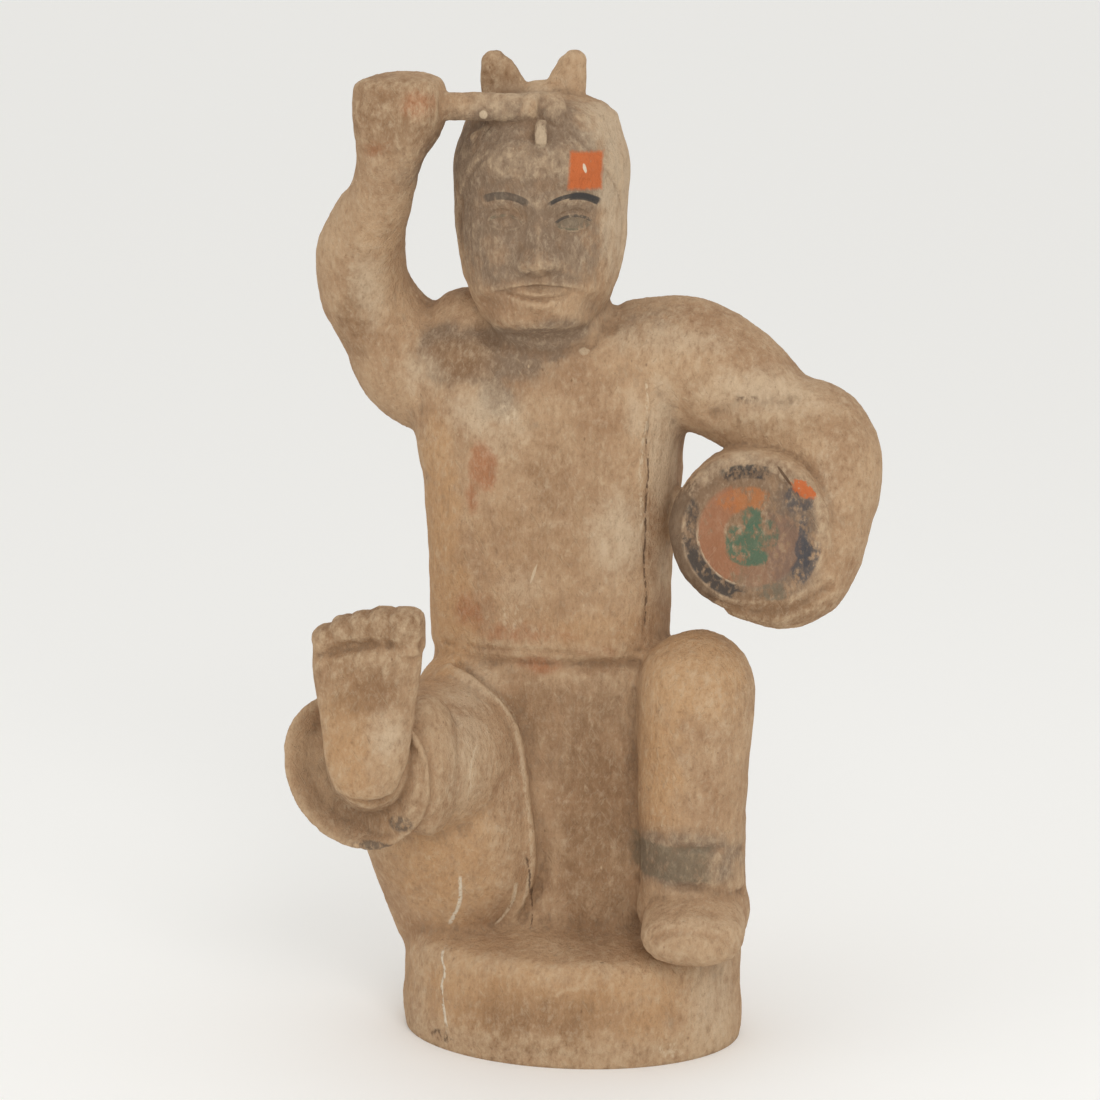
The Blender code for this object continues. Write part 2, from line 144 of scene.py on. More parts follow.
def wheel(clay, profile, place, sides=96):  # a turned solid from rows (radius, height)
    turned = bmesh.new()
    outline = [turned.verts.new((radius, 0, height)) for radius, height in profile]
    edges = [turned.edges.new(pair) for pair in zip(outline, outline[1:])]
    bmesh.ops.spin(turned, geom=outline + edges, cent=(0, 0, 0), axis=(0, 0, 1),
                   angle=2 * math.pi, steps=sides, use_merge=True)
    bmesh.ops.holes_fill(turned, edges=turned.edges, sides=0)
    for vertex in turned.verts:
        vertex.co = onBody(place @ vertex.co)
    mesh = bpy.data.meshes.new("turned")
    turned.to_mesh(mesh)
    turned.free()
    clay.from_mesh(mesh)
    bpy.data.meshes.remove(mesh)


def addMasses(clay):
    # skirt and hips, chest and shoulders, neck
    loft(clay, [(-13, 16, -12, 70, 46), (-13, 17, 20, 74, 48), (-14, 17, 60, 76, 47), (-15, 15, 100, 74, 45),
                (-15, 11, 135, 69, 42), (-14, 7, 163, 66.8, 40)], square=2.8, ends=(0.1, 0.12))
    loft(clay, [(-14.5, 5, 166, 67.4, 41), (-14.5, 5, 174, 67.8, 41), (-14.2, 5, 190, 68.5, 41),
                (-14, 5, 225, 69.5, 43), (-13, 5, 262, 73, 44), (-14.5, 5, 290, 77, 43),
                (-12, 6, 318, 79, 41), (-7, 8, 343, 75, 34)], square=2.8, ends=(0.12, 0.36))
    loft(clay, [(-12, 0, 335, 40, 36), (-13, -5, 352, 36, 34), (-14, -8, 374, 34, 34)])
    # the raised arm, then the arm round the drum
    loft(clay, [(-52, 8, 317, 37, 34), (-74, 7, 318, 38, 33), (-93.5, 4, 326, 36, 31),
                (-108.5, -1, 345, 28, 28), (-118.5, -9, 367, 26.5, 26), (-117, -20, 386, 25.5, 24),
                (-108.5, -34, 404, 22, 21), (-96.5, -47, 421, 18, 18), (-91, -55, 435, 17.5, 17),
                (-87.5, -60, 447, 19, 18), (-84, -62, 459, 22, 19.5)])
    loft(clay, [(38, 8, 329, 35, 34), (64, 8, 328, 37, 34), (90, 5, 317, 34, 32), (117, 2, 298.5, 29, 29),
                (143, -2, 290.5, 27.5, 27), (152, -7, 270, 24.5, 26), (150, -12, 246, 21.5, 24),
                (145.5, -17, 226, 21, 23), (138, -22, 209, 19, 22), (125, -25, 199, 12, 21),
                (109, -26, 199, 8, 19)], ends=(0.8, 1.3))
    # the raised leg's thigh in its wide trouser leg, and the lower leg stretched forwards
    loft(clay, [(-62, -2, -12, 35, 34), (-65, -6, 14, 43, 37), (-63, -13, 46, 54.5, 44),
                (-62, -18, 80, 51, 48), (-59, -18, 112, 43.5, 46), (-54, -12, 138, 32, 38)],
         square=2.2, ends=(0.1, 0.62))
    loft(clay, [(-60, -22, 104, 44, 45), (-68, -50, 109, 42, 43), (-80, -76, 111, 40, 41),
                (-91, -93, 112, 42, 42)], facing=(0, 0, 1), ends=(0.5, 0.1))
    # the standing leg
    loft(clay, [(74, -16, -8, 20, 18), (75, -20, 10, 27, 25), (76, -22, 17, 31, 29), (76, -23, 25, 32.5, 32),
                (76, -23, 38, 30, 30), (75.5, -23, 80, 30.5, 30), (76, -23, 120, 32, 31),
                (77, -22, 150, 33, 31)], ends=(0.15, 1.02))
    loft(clay, [(77, -14, 146, 29, 31), (62, 6, 136, 32, 33), (40, 18, 122, 34, 34)], facing=(0, 0, 1))
    # the oval plinth, a little domed on top; it is cut level with the floor later
    height, rounding = plinth["height"] / share, plinth["rounding"] / share
    oval = Matrix.Diagonal((plinth["width"] / share / 2, plinth["depth"] / share / 2, 1, 1))
    wheel(clay, [(0.97, -height - 8), (0.99, -height + 4), (1.0, -height + 16), (0.985, -height * 0.5),
                 (0.985, -rounding), (0.965, -rounding * 0.35), (0.92, 0), (0.5, 6), (0.02, 6)], oval)


def addRaisedFoot(clay):
    radius, recess = cuff["diameter"] / share / 2, cuff["recess"] / share
    wheel(clay, [(30, -24), (36, -14), (radius - 3, -5), (radius, -1), (radius - 1, 1.6), (radius - 4, 1.2),
                 (radius - 12, -recess * 0.7), (20, -recess), (1, -recess)], cuffPlace)
    blob(clay, (-60, -88, 113), (18, 24, 40))
    loft(clay, [(-90, -92, 113, 27, 27), (-83, -120, 120, 20, 24)], facing=(0, 0, 1), ends=(0.2, 0.2))
    loft(clay, [(-84, -125, 111, 18, 14), (-83.5, -127, 124, 22.5, 14), (-82.5, -128, 142, 25.5, 13),
                (-82, -128.5, 162, 28.5, 12), (-81.5, -129, 180, 30.5, 11.5), (-81, -129, 191, 31, 9)],
         square=2.4, ends=(0.5, 0.3))
    for x, z, half, lean in ((-103, 188.5, 7.4, -1.6), (-92.5, 194, 7.4, -1), (-82, 197.5, 7.2, -0.6),
                             (-71.5, 200, 7.4, 0),
                             (-58.5, 199.5, 9.8, 0.4)):
        loft(clay, [(x, -129, z - 12, half * 0.94, 9), (x, -131, z, half, 9.5),
                    (x + lean, -132.5, z + 6, half * 0.96, 8.5)], square=3.0, ends=(0.3, 0.55))


def addStandingFoot(clay):
    loft(clay, [(78, -22, 20, 27, 21), (81, -44, 19.5, 28.5, 19), (83, -60, 17, 28.5, 15.5)],
         facing=(0, 0, 1), square=2.3, ends=(0.3, 0.85))


def addFistAndStick(clay):
    loft(clay, [(-86.5, -60, 445, 16, 15), (-84, -62, 456, 21, 19), (-81.2, -62, 470, 24.8, 21),
                (-81.5, -62, 482.5, 24, 18.5)], square=3.3, ends=(0.5, 0.36))
    for x, y, z in ((-97, -73, 469), (-86.5, -75, 470), (-76, -75, 470), (-65.5, -73, 469)):
        blob(clay, (x, y, z), (7.4, 7.8, 14))
    along = Vector(stick["end"]) - Vector(stick["start"])
    radius = stick["diameter"] / share / 2
    wheel(clay, [(radius * 0.96, 0), (radius, along.length / 2), (radius * 0.98, along.length)],
          standing(stick["start"], along), sides=40)
    blob(clay, (-34, -62.2, 467.6), (2.2, 2.0, 2.4))


def addDrum(clay):
    radius, half = drum["diameter"] / share / 2, drum["thickness"] / share / 2
    rim, recess = drum["rim"] / share, drum["recess"] / share
    wheel(clay, [(radius - 6, -half), (radius - 1.5, -half + 4), (radius, -half + 10), (radius, half - 9),
                 (radius - 1.5, half - 3.5), (radius - 4.5, half - 0.4), (radius - rim, half),
                 (radius - rim - 2, half - recess), (1, half - recess)], drumPlace)
    blob(clay, (61, 0, 243), (7.5, 10, 16))


def addHead(clay):
    loft(clay, [(0, -14, -58, 28, 28), (0, -8, -48, 36.5, 39), (0, -4, -34, 41.5, 45), (0, 0, -14, 44.5, 48),
                (0, 2, 10, 46, 50), (0, 3, 30, 46, 50), (0, 4, 48, 39, 43)], ends=(0.35,
                                                                                   0.42), place=headPlace)
    blob(clay, (0, -22, 30), (36, 28, 24), place=headPlace)
    # the knot on top of the scarf, with its two ends
    blob(clay, (0, 1, 63), (14, 9, 10.5), place=headPlace)
    loft(clay, [(-17, 1, 58, 13, 8), (-20.5, 2, 69, 12.5, 7), (-24, 2.5, 79, 10, 6), (-26.5, 3, 85, 7, 5)],
         ends=(0.3, 0.8), place=headPlace)
    loft(clay, [(11, 1, 58, 12, 8), (13.5, 2, 69, 11.2, 7), (16.5, 2.5, 79, 8.8, 6), (19, 3, 85, 6.2, 5)],
         ends=(0.3, 0.8), place=headPlace)
    for side in (-1, 1):
        loft(clay, [(side * 4, -20, 62, 3.6, 3.6), (side * 20, -26, 55, 3.8, 3.8),
                    (side * 36, -22, 44, 3, 3)],
             facing=(0, 0, 1), place=headPlace)
    loft(clay, [(1, -42.5, 55, 3.2, 2.6), (1, -46, 49, 3.6, 2.8), (1.2, -48, 43, 3.2, 2.6)], square=2.8,
         ends=(0.3, 0.3), place=headPlace)
    blob(clay, (6.5, -31, 60), (8, 7, 10), turn=(-30, 0, 0), place=headPlace)


def addScarf(clay):
    loft(clay, [(0, 8, -44, 37, 40), (0, 5, -30, 44, 46), (0, 4, -10, 47.2, 51), (0, 4, 12, 48.2, 53.5),
                (0.5, 4.5, 32, 48.2, 52.5), (1, 5, 50, 42.5, 45)], ends=(0.2, 0.42), place=headPlace)


def addScarfOpening(clay):
    loft(clay, [(0, -110, -8, 46.5, 57), (0, -8, -8, 46.5, 57)], facing=(0, 0, 1), ends=(0.1, 0.25),
         place=headPlace, sides=72)


def newPiece(name, adders):
    clay = bmesh.new()
    for add in adders:
        add(clay)
    bmesh.ops.recalc_face_normals(clay, faces=clay.faces)
    mesh = bpy.data.meshes.new(name)
    clay.to_mesh(mesh)
    clay.free()
    piece = bpy.data.objects.new(name, mesh)
    bpy.context.scene.collection.objects.link(piece)
    return piece


def settled(piece):  # the piece's mesh with its modifiers applied; the piece itself goes
    graph = bpy.context.evaluated_depsgraph_get()
    mesh = bpy.data.meshes.new_from_object(piece.evaluated_get(graph), depsgraph=graph)
    bpy.data.objects.remove(piece, do_unlink=True)
    return mesh


def fuse(piece, voxel, smoothing):
    remesh = piece.modifiers.new("fuse", "REMESH")
    remesh.mode = "VOXEL"
    remesh.voxel_size = voxel
    soften = piece.modifiers.new("soften", "SMOOTH")
    soften.factor = 0.5
    soften.iterations = smoothing


def joinMesh(piece, mesh):
    clay = bmesh.new()
    clay.from_mesh(piece.data)
    clay.from_mesh(mesh)
    clay.to_mesh(piece.data)
    clay.free()


def outerSkin(mesh):  # keeps the largest skin and cuts it level with the floor
    clay = bmesh.new()
    clay.from_mesh(mesh)
    unseen, skins = set(clay.verts), []
    while unseen:
        island, edge = set(), {unseen.pop()}
        while edge:
            island |= edge
            edge = {e.other_vert(v) for v in edge for e in v.link_edges} - island
        unseen -= island
        skins.append(island)
    outer = max(skins, key=len)
    bmesh.ops.delete(clay, geom=[v for v in clay.verts if v not in outer], context="VERTS")
    cut = bmesh.ops.bisect_plane(clay, geom=clay.verts[:] + clay.edges[:] + clay.faces[:], dist=1e-7,
                                 plane_co=(0, 0, 0), plane_no=(0, 0, 1), clear_inner=True)
    rim = [e for e in cut["geom_cut"] if isinstance(e, bmesh.types.BMEdge)]
    bmesh.ops.triangle_fill(clay, edges=rim, use_beauty=True, normal=(0, 0, -1))
    clay.to_mesh(mesh)
    clay.free()


masses = newPiece("masses", [addMasses])
fuse(masses, clayGrain["massVoxel"], clayGrain["massSmoothing"])
scarf = newPiece("scarf", [addScarf])
opening = newPiece("scarfOpening", [addScarfOpening])
cut = scarf.modifiers.new("face opening", "BOOLEAN")
cut.operation, cut.solver, cut.object = "DIFFERENCE", "EXACT", opening
figure = newPiece("terracottaFigure", [addHead, addRaisedFoot, addStandingFoot, addFistAndStick, addDrum])
joinMesh(figure, settled(masses))
joinMesh(figure, settled(scarf))
bpy.data.objects.remove(opening, do_unlink=True)
fuse(figure, clayGrain["formVoxel"], clayGrain["formSmoothing"])
clayMesh = settled(figure)
outerSkin(clayMesh)
print("clay fused:", len(clayMesh.polygons), "faces")


# Relief of the calm, evenly proportioned face, over the head's own x and z
def mound(x, z, centre, spread, height):
    return height * np.exp(-((x - centre[0]) / spread[0]) ** 2 - ((z - centre[1]) / spread[1]) ** 2)


def faceRelief(x, z):
    aside = np.abs(x)
    relief = mound(aside, z, (17, 14.5 - 0.010 * (aside - 15) ** 2), (15, 4.4), 2.4)
    relief += mound(aside, z, (19, 2), (13, 8), -4.6)
    relief += mound(aside, z, (18.5, 1), (9.5, 4.6), 4.4)
    relief += mound(aside, z, (25, -14), (14, 15), 1.6)
    relief += mound(x, z, (0, -37), (20, 13), 1.2)
    # the lower face comes forward to the lips and the chin
    jaw = np.clip((-30 - z) / 10, 0, 1)
    relief += 7.4 * jaw * jaw * (3 - 2 * jaw) * np.exp(-(x / 33) ** 4) * np.clip((z + 65) / 8, 0, 1)
    # lids: two fine arcs round a slightly sunk eyeball, and the fold over them
    arch = np.clip(1 - ((aside - 18.5) / 10.5) ** 2, 0, 1)
    upper, lower = z - (0.4 + 4.2 * arch), z - (0.2 - 3.4 * arch)
    relief += (1.1 * np.exp(-(upper / 1.0) ** 2) + 0.8 * np.exp(-(lower / 1.0) ** 2)) * np.sqrt(arch)
    relief -= 0.9 * np.clip(-upper / 1.3, 0, 1) * np.clip(lower / 1.3, 0, 1) * np.sqrt(arch)
    relief -= 0.9 * np.exp(-((z - (3.0 + 4.8 * arch)) / 0.9) ** 2) * np.sqrt(arch)
    # nose: a ridge that grows down to its tip, its wings and its nostrils
    down = np.clip((16 - z) / 38, 0, 1)
    under = np.clip((z + 29) / 7, 0, 1)
    relief += (2.0 + 7.5 * down ** 1.2) * np.exp(-(x / (4.6 + 3.0 * down)) ** 2) \
        * under * under * (3 - 2 * under) * np.clip((22 - z) / 12, 0, 1)
    relief += mound(aside, z, (8.2, -20.5), (3.8, 4.6), 3.8)
    relief += mound(aside, z, (4.2, -26), (1.8, 1.5), -1.4)
    # lips and chin
    bow = z + 36.6 + 0.8 * np.exp(-(x / 3) ** 2) - 0.008 * x ** 2
    relief += 2.4 * np.exp(-(x / 13) ** 4 - (bow / 3.0) ** 2)
    relief += 2.8 * np.exp(-(x / 11) ** 4 - ((z + 43.8 - 0.011 * x ** 2) / 3.2) ** 2)
    relief -= 2.2 * np.exp(-(x / 15) ** 4 - ((z + 40.2 - 0.008 * x ** 2) / 1.2) ** 2)
    relief += mound(aside, z, (15.5, -38.3), (2.2, 2.2), -0.8)
    relief += mound(x, z, (0, -50.5), (14, 4), -1.4)
    relief += mound(x, z, (0, -58), (15, 9), 2.6)
    relief += mound(x, z, (0, -31), (2.2, 4.0), -0.8)
    return relief


def readPoints(mesh):
    flat = np.empty(len(mesh.vertices) * 3)
    mesh.vertices.foreach_get("co", flat)
    return (flat.reshape(-1, 3) - (0, 0, plinth["height"])) / share


def toHead(points):
    matrix = np.array(headPlace.inverted())
    return points @ matrix[:3, :3].T + matrix[:3, 3]


def refineFace(mesh):  # the face's clay gets smaller faces, so that its lids and lips stay crisp
    clay = bmesh.new()
    clay.from_mesh(mesh)
    inverse = (Matrix.Translation((0, 0, plinth["height"])) @ Matrix.Scale(share, 4) @ headPlace).inverted()
    near = set()
    for vertex in clay.verts:
        x, y, z = inverse @ vertex.co
        if abs(x) < 33 and y < -22 and -66 < z < 24:
            near.add(vertex)
    edges = [e for e in clay.edges if e.verts[0] in near and e.verts[1] in near]
    bmesh.ops.subdivide_edges(clay, edges=edges, cuts=1, use_grid_fill=True, smooth=0.0)
    clay.to_mesh(mesh)
    clay.free()


def pressFace(mesh):
    points = readPoints(mesh)
    x, y, z = toHead(points).T
    front = np.clip((-y - 14) / 14, 0, 1) * np.clip((46 - np.abs(x)) / 6, 0, 1)
    front *= np.clip((z + 70) / 8, 0, 1) * np.clip((44 - z) / 8, 0, 1)
    ahead = np.array(headPlace.to_3x3() @ Vector((0, -1, 0)))
    points = points + (front * faceRelief(x, z))[:, None] * ahead
    mesh.vertices.foreach_set("co", (points * share + (0, 0, plinth["height"])).ravel())
    mesh.update()


def addNode(tree, kind, settings=None, inputs=None):
    node = tree.nodes.new(kind)
    for name, value in (settings or {}).items():
        setattr(node, name, value)
    for name, value in (inputs or {}).items():
        if isinstance(value, bpy.types.NodeSocket):
            tree.links.new(value, node.inputs[name])
        else:
            node.inputs[name].default_value = value
    return node


def newTree(name, inputs):
    tree = bpy.data.node_groups.new(name, "GeometryNodeTree")
    tree.interface.new_socket("Clay", in_out="INPUT", socket_type="NodeSocketGeometry")
    for label, kind in inputs:
        tree.interface.new_socket(label, in_out="INPUT", socket_type="NodeSocket" + kind)
    tree.interface.new_socket("Clay", in_out="OUTPUT", socket_type="NodeSocketGeometry")
    return tree


def endTree(tree, geometry, material):
    add = partial(addNode, tree)
    realized = add("GeometryNodeRealizeInstances", {}, {0: geometry})
    coated = add("GeometryNodeSetMaterial", {}, {"Geometry": realized.outputs[0], "Material": material})
    add("NodeGroupOutput", {}, {0: coated.outputs[0]})


def runTree(piece, tree, values):
    modifier = piece.modifiers.new(tree.name, "NODES")
    modifier.node_group = tree
    for item in tree.interface.items_tree:
        if item.in_out == "INPUT" and item.name in values:
            modifier[item.identifier] = values[item.name]


# A stroke of the modelling tool: everything within its reach of a path rises or sinks
def strokeTree():
    tree = newTree("toolStroke",
                   [("Path", "Object"), ("Reach", "Float"), ("Height", "Float"), ("PaintedShadeAndSoil", "Float"),
                    ("Material", "Material")])
    add = partial(addNode, tree)
    given = add("NodeGroupInput").outputs
    path = add("GeometryNodeObjectInfo", {}, {"Object": given["Path"]})
    line = add("GeometryNodeCurveToMesh", {}, {"Curve": path.outputs["Geometry"]})
    near = add("GeometryNodeProximity", {"target_element": "EDGES"}, {0: line.outputs[0]})
    fall = add("ShaderNodeMapRange", {"interpolation_type": "SMOOTHSTEP"},
               {"Value": near.outputs["Distance"], "From Min": 0.0, "From Max": given["Reach"],
                "To Min": 1.0, "To Max": 0.0})
    rise = add("ShaderNodeMath", {"operation": "MULTIPLY"}, {0: fall.outputs[0], 1: given["Height"]})
    normal = add("GeometryNodeInputNormal")
    offset = add("ShaderNodeVectorMath", {"operation": "SCALE"},
                 {0: normal.outputs[0], "Scale": rise.outputs[0]})
    moved = add("GeometryNodeSetPosition", {}, {"Geometry": given["Clay"], "Offset": offset.outputs[0]})
    # the stroke darkens the colour along it too: painted shade and soil in its groove
    before = add("GeometryNodeInputNamedAttribute", {"data_type": "FLOAT"}, {"Name": "soil"})
    soil = add("ShaderNodeMath", {"operation": "MULTIPLY_ADD"},
               {0: fall.outputs[0], 1: given["PaintedShadeAndSoil"], 2: before.outputs[0]})
    kept = add("GeometryNodeStoreNamedAttribute", {"data_type": "FLOAT", "domain": "POINT"},
               {"Geometry": moved.outputs[0], "Name": "soil", "Value": soil.outputs[0]})
    endTree(tree, kept.outputs[0], given["Material"])
    return tree


# The unevenness of clay worked by hand and wiped with a wet brush
def handTree():
    tree = newTree("handWork", [("Lump height", "Float"), ("Lump size", "Float"), ("Brush height", "Float"),
                                ("Brush width", "Float"), ("Brush length", "Float"), ("Seed", "Float"),
                                ("Material", "Material")])
    add = partial(addNode, tree)
    given = add("NodeGroupInput").outputs
    place = add("GeometryNodeInputPosition").outputs[0]
    lumpScale = add("ShaderNodeMath", {"operation": "DIVIDE"}, {0: 1.0, 1: given["Lump size"]})
    lumps = add("ShaderNodeTexNoise", {"noise_dimensions": "4D"},
                {"Vector": place, "W": given["Seed"], "Scale": lumpScale.outputs[0], "Detail": 2.0})
    squash = add("ShaderNodeMath", {"operation": "DIVIDE"},
                 {0: given["Brush width"], 1: given["Brush length"]})
    longWays = add("ShaderNodeCombineXYZ", {}, {0: 1.0, 1: 1.0, 2: squash.outputs[0]})
    along = add("ShaderNodeVectorMath", {"operation": "MULTIPLY"}, {0: place, 1: longWays.outputs[0]})
    brushScale = add("ShaderNodeMath", {"operation": "DIVIDE"}, {0: 1.0, 1: given["Brush width"]})
    brush = add("ShaderNodeTexNoise", {"noise_dimensions": "4D"},
                {"Vector": along.outputs[0], "W": given["Seed"], "Scale": brushScale.outputs[0],
                 "Detail": 2.0})
    rises = []
    for noise, height in ((lumps, "Lump height"), (brush, "Brush height")):
        centred = add("ShaderNodeMath", {"operation": "SUBTRACT"}, {0: noise.outputs[0], 1: 0.5})
        rises.append(add("ShaderNodeMath", {"operation": "MULTIPLY"},
                         {0: centred.outputs[0], 1: given[height]}).outputs[0])
    rise = add("ShaderNodeMath", {"operation": "ADD"}, {0: rises[0], 1: rises[1]})
    # nothing moves at the underside, which stays flat
    height = add("ShaderNodeSeparateXYZ", {}, {0: place})
    above = add("ShaderNodeMapRange", {},
                {"Value": height.outputs["Z"], "From Min": 0.0005, "From Max": 0.004})
    held = add("ShaderNodeMath", {"operation": "MULTIPLY"}, {0: rise.outputs[0], 1: above.outputs[0]})
    normal = add("GeometryNodeInputNormal")
    offset = add("ShaderNodeVectorMath", {"operation": "SCALE"},
                 {0: normal.outputs[0], "Scale": held.outputs[0]})
    moved = add("GeometryNodeSetPosition", {}, {"Geometry": given["Clay"], "Offset": offset.outputs[0]})
    endTree(tree, moved.outputs[0], given["Material"])
    return tree


def pathCurve(name, paths):
    curve = bpy.data.curves.new(name, "CURVE")
    curve.dimensions = "3D"
    for path in paths:
        rows = smoothRows(path, 6)
        spline = curve.splines.new("POLY")
        spline.points.add(len(rows) - 1)
        for point, row in zip(spline.points, rows):
            point.co = (*onBody(row), 1)
    line = bpy.data.objects.new(name, curve)
    bpy.context.scene.collection.objects.link(line)
    return line


thighHem = [(-62, -39, 157), (-43, -45, 150), (-29, -41, 137), (-21, -38, 117), (-16, -40, 84),
            (-14, -37, 54),
            (-17, -34, 32), (-27, -33, 12)]
# reach and height in mm; soil is how dark the stroke is afterwards, painted shade and soil in its groove
# (below zero, how rubbed it is)
scarfEdge = [tuple(headPlace @ Vector((46.5 * math.cos(t),
                                       4 - 54 * math.sqrt(max(0.03, 1 - (46.5 * math.cos(t) / 48.2) ** 2)),
                                       -8 + 57 * math.sin(t)))) for t in np.linspace(-0.7, math.pi + 0.7,
                                                                                     28)]


def onScarf(x, z):  # a point on the front of the scarf, over the head's own x and z
    depth = 53 * math.sqrt(max(0.05, 1 - (x / 49) ** 2)) * math.sqrt(max(0.1,
                                                                         1 - (max(0, z - 30) / 42) ** 2))
    return tuple(headPlace @ Vector((x, 4 - depth, z)))


strokes = {
    "scarfEdge": {"reach": 2.2, "height": -1.1, "soil": 0.8, "paths": [scarfEdge]},
    "scarfFolds": {"reach": 2.4, "height": -0.9, "soil": 0.5,
                   "paths": [[onScarf(6, 60), onScarf(18, 56), onScarf(32, 48)],
                             [onScarf(5, 55), onScarf(15, 50), onScarf(24, 47)],
                             [onScarf(-6, 60), onScarf(-20, 56), onScarf(-34, 48)]]},
    "hem": {"reach": 5.2, "height": 2.0, "soil": -0.6, "paths": [thighHem]},
    "hemHollow": {"reach": 6, "height": -2.4, "soil": 0.5,
                  "paths": [[(x + 6, y + 3.5, z) for x, y, z in thighHem]]},
    "waistGroove": {"reach": 3.6, "height": -1.2, "soil": 0.5,
                    "paths": [[(-70, -26, 169), (-33, -35, 168), (2, -35, 168), (44, -22, 170)]]},
    "collar": {"reach": 7, "height": -2.4, "soil": 0.7,
               "paths": [[(-47, -24, 349), (-34, -31, 341), (-7, -36, 336), (16, -27, 341),
                          (26, -18, 351)]]},
    "collarFolds": {"reach": 1.8, "height": -0.8, "soil": 0.5,
                    "paths": [[(-44, -28, 341), (-28, -36, 334), (-4, -38, 330), (12, -35, 333)],
                              [(-36, -33, 345), (-18, -37, 340), (2, -38, 339), (17, -33, 343)]]},
    "cuffBandTop": {"reach": 4.6, "height": -1.3, "soil": 0.5,
                    "paths": [[(45, -27, 59), (80, -52, 66), (105, -29, 61)]]},
    "cuffBandFoot": {"reach": 5, "height": -2.2, "soil": 0.9,
                     "paths": [[(44, -27, 39), (80, -52, 43), (106, -29, 36)]]},
    "toeCrease": {"reach": 5.6, "height": -2.6, "soil": 0.8,
                  "paths": [[(-106, -138, 183), (-91, -139, 188), (-72, -137, 191), (-50, -132, 191)]]},
    "armHollow": {"reach": 10, "height": -2.0, "soil": 0.4,
                  "paths": [[(85, -24, 305), (103, -26, 312), (127, -18, 312)]]},
    "handEdge": {"reach": 5.6, "height": -2.0, "soil": 0.7,
                 "paths": [[(88, -44, 205), (103, -45, 200), (119, -44, 199), (136, -43, 203),
                            (152, -37, 214)]]},
    "footGroove": {"reach": 5, "height": -1.8, "soil": 0.5,
                   "paths": [[(66, -76, 20), (74, -77, 24), (85, -77, 26), (97, -75, 24), (106, -70, 20)]]},
    "fingers": {"reach": 2.6, "height": -0.7, "soil": 0.4,
                "paths": [[(-93, -83, 462), (-93, -85, 484)],
                          [(-82, -84, 461), (-82, -86, 485)],
                          [(-71.5, -83, 461), (-71.5, -85, 484)]]},
    "sideSeam": {"reach": 1.5, "height": -0.6, "soil": 0.6,
                 "paths": [[(50, -26, 316), (50.6, -26, 302), (48.4, -27, 288), (49.4, -26, 272),
                            (48, -25, 255), (47.8, -24, 238), (46.6, -22, 221), (47.4, -21, 200),
                            (46, -21, 180)]]},
    "sideSeamLip": {"reach": 2.2, "height": 0.4, "soil": -0.6,
                    "paths": [[(48, -27, 322), (48.4, -28, 304), (45.6, -28, 286), (46.6, -28, 266),
                               (45.4, -25, 246)]]},
    "plinthArch": {"reach": 2.2, "height": 0.5, "soil": -0.5,
                   "paths": [[(6, -77, -27), (8, -76, -20), (14, -76, -15), (24, -75, -13), (32, -74, -14),
                              (36, -73, -19)]]},
}
handWork = {"Lump height": 0.0034, "Lump size": 0.026, "Brush height": 0.0017, "Brush width": 0.0034,
            "Brush length": 0.022, "Seed": 4.0}


# How hollow or how proud the surface is, from how it moves when it is smoothed
def hollowness(mesh, rounds):
    edges = np.empty(len(mesh.edges) * 2, int)
    mesh.edges.foreach_get("vertices", edges)
    a, b = edges.reshape(-1, 2).T
    points = readPoints(mesh)
    count = np.bincount(a, minlength=len(points)) + np.bincount(b, minlength=len(points))
    smooth = points.copy()
    for _ in range(rounds):
        total = np.empty_like(smooth)
        for k in range(3):
            total[:, k] = (np.bincount(a, smooth[b, k], minlength=len(points))
                           + np.bincount(b, smooth[a, k], minlength=len(points)))
        smooth = 0.4 * smooth + 0.6 * total / np.maximum(count, 1)[:, None]
    normals = np.empty(len(points) * 3)
    mesh.vertices.foreach_get("normal", normals)
    return np.clip(((smooth - points) * normals.reshape(-1, 3)).sum(1), -2, 2)


def storeField(mesh, name, values):
    field = mesh.attributes.get(name) or mesh.attributes.new(name, "FLOAT", "POINT")
    field.data.foreach_set("value", values.astype(np.float32))
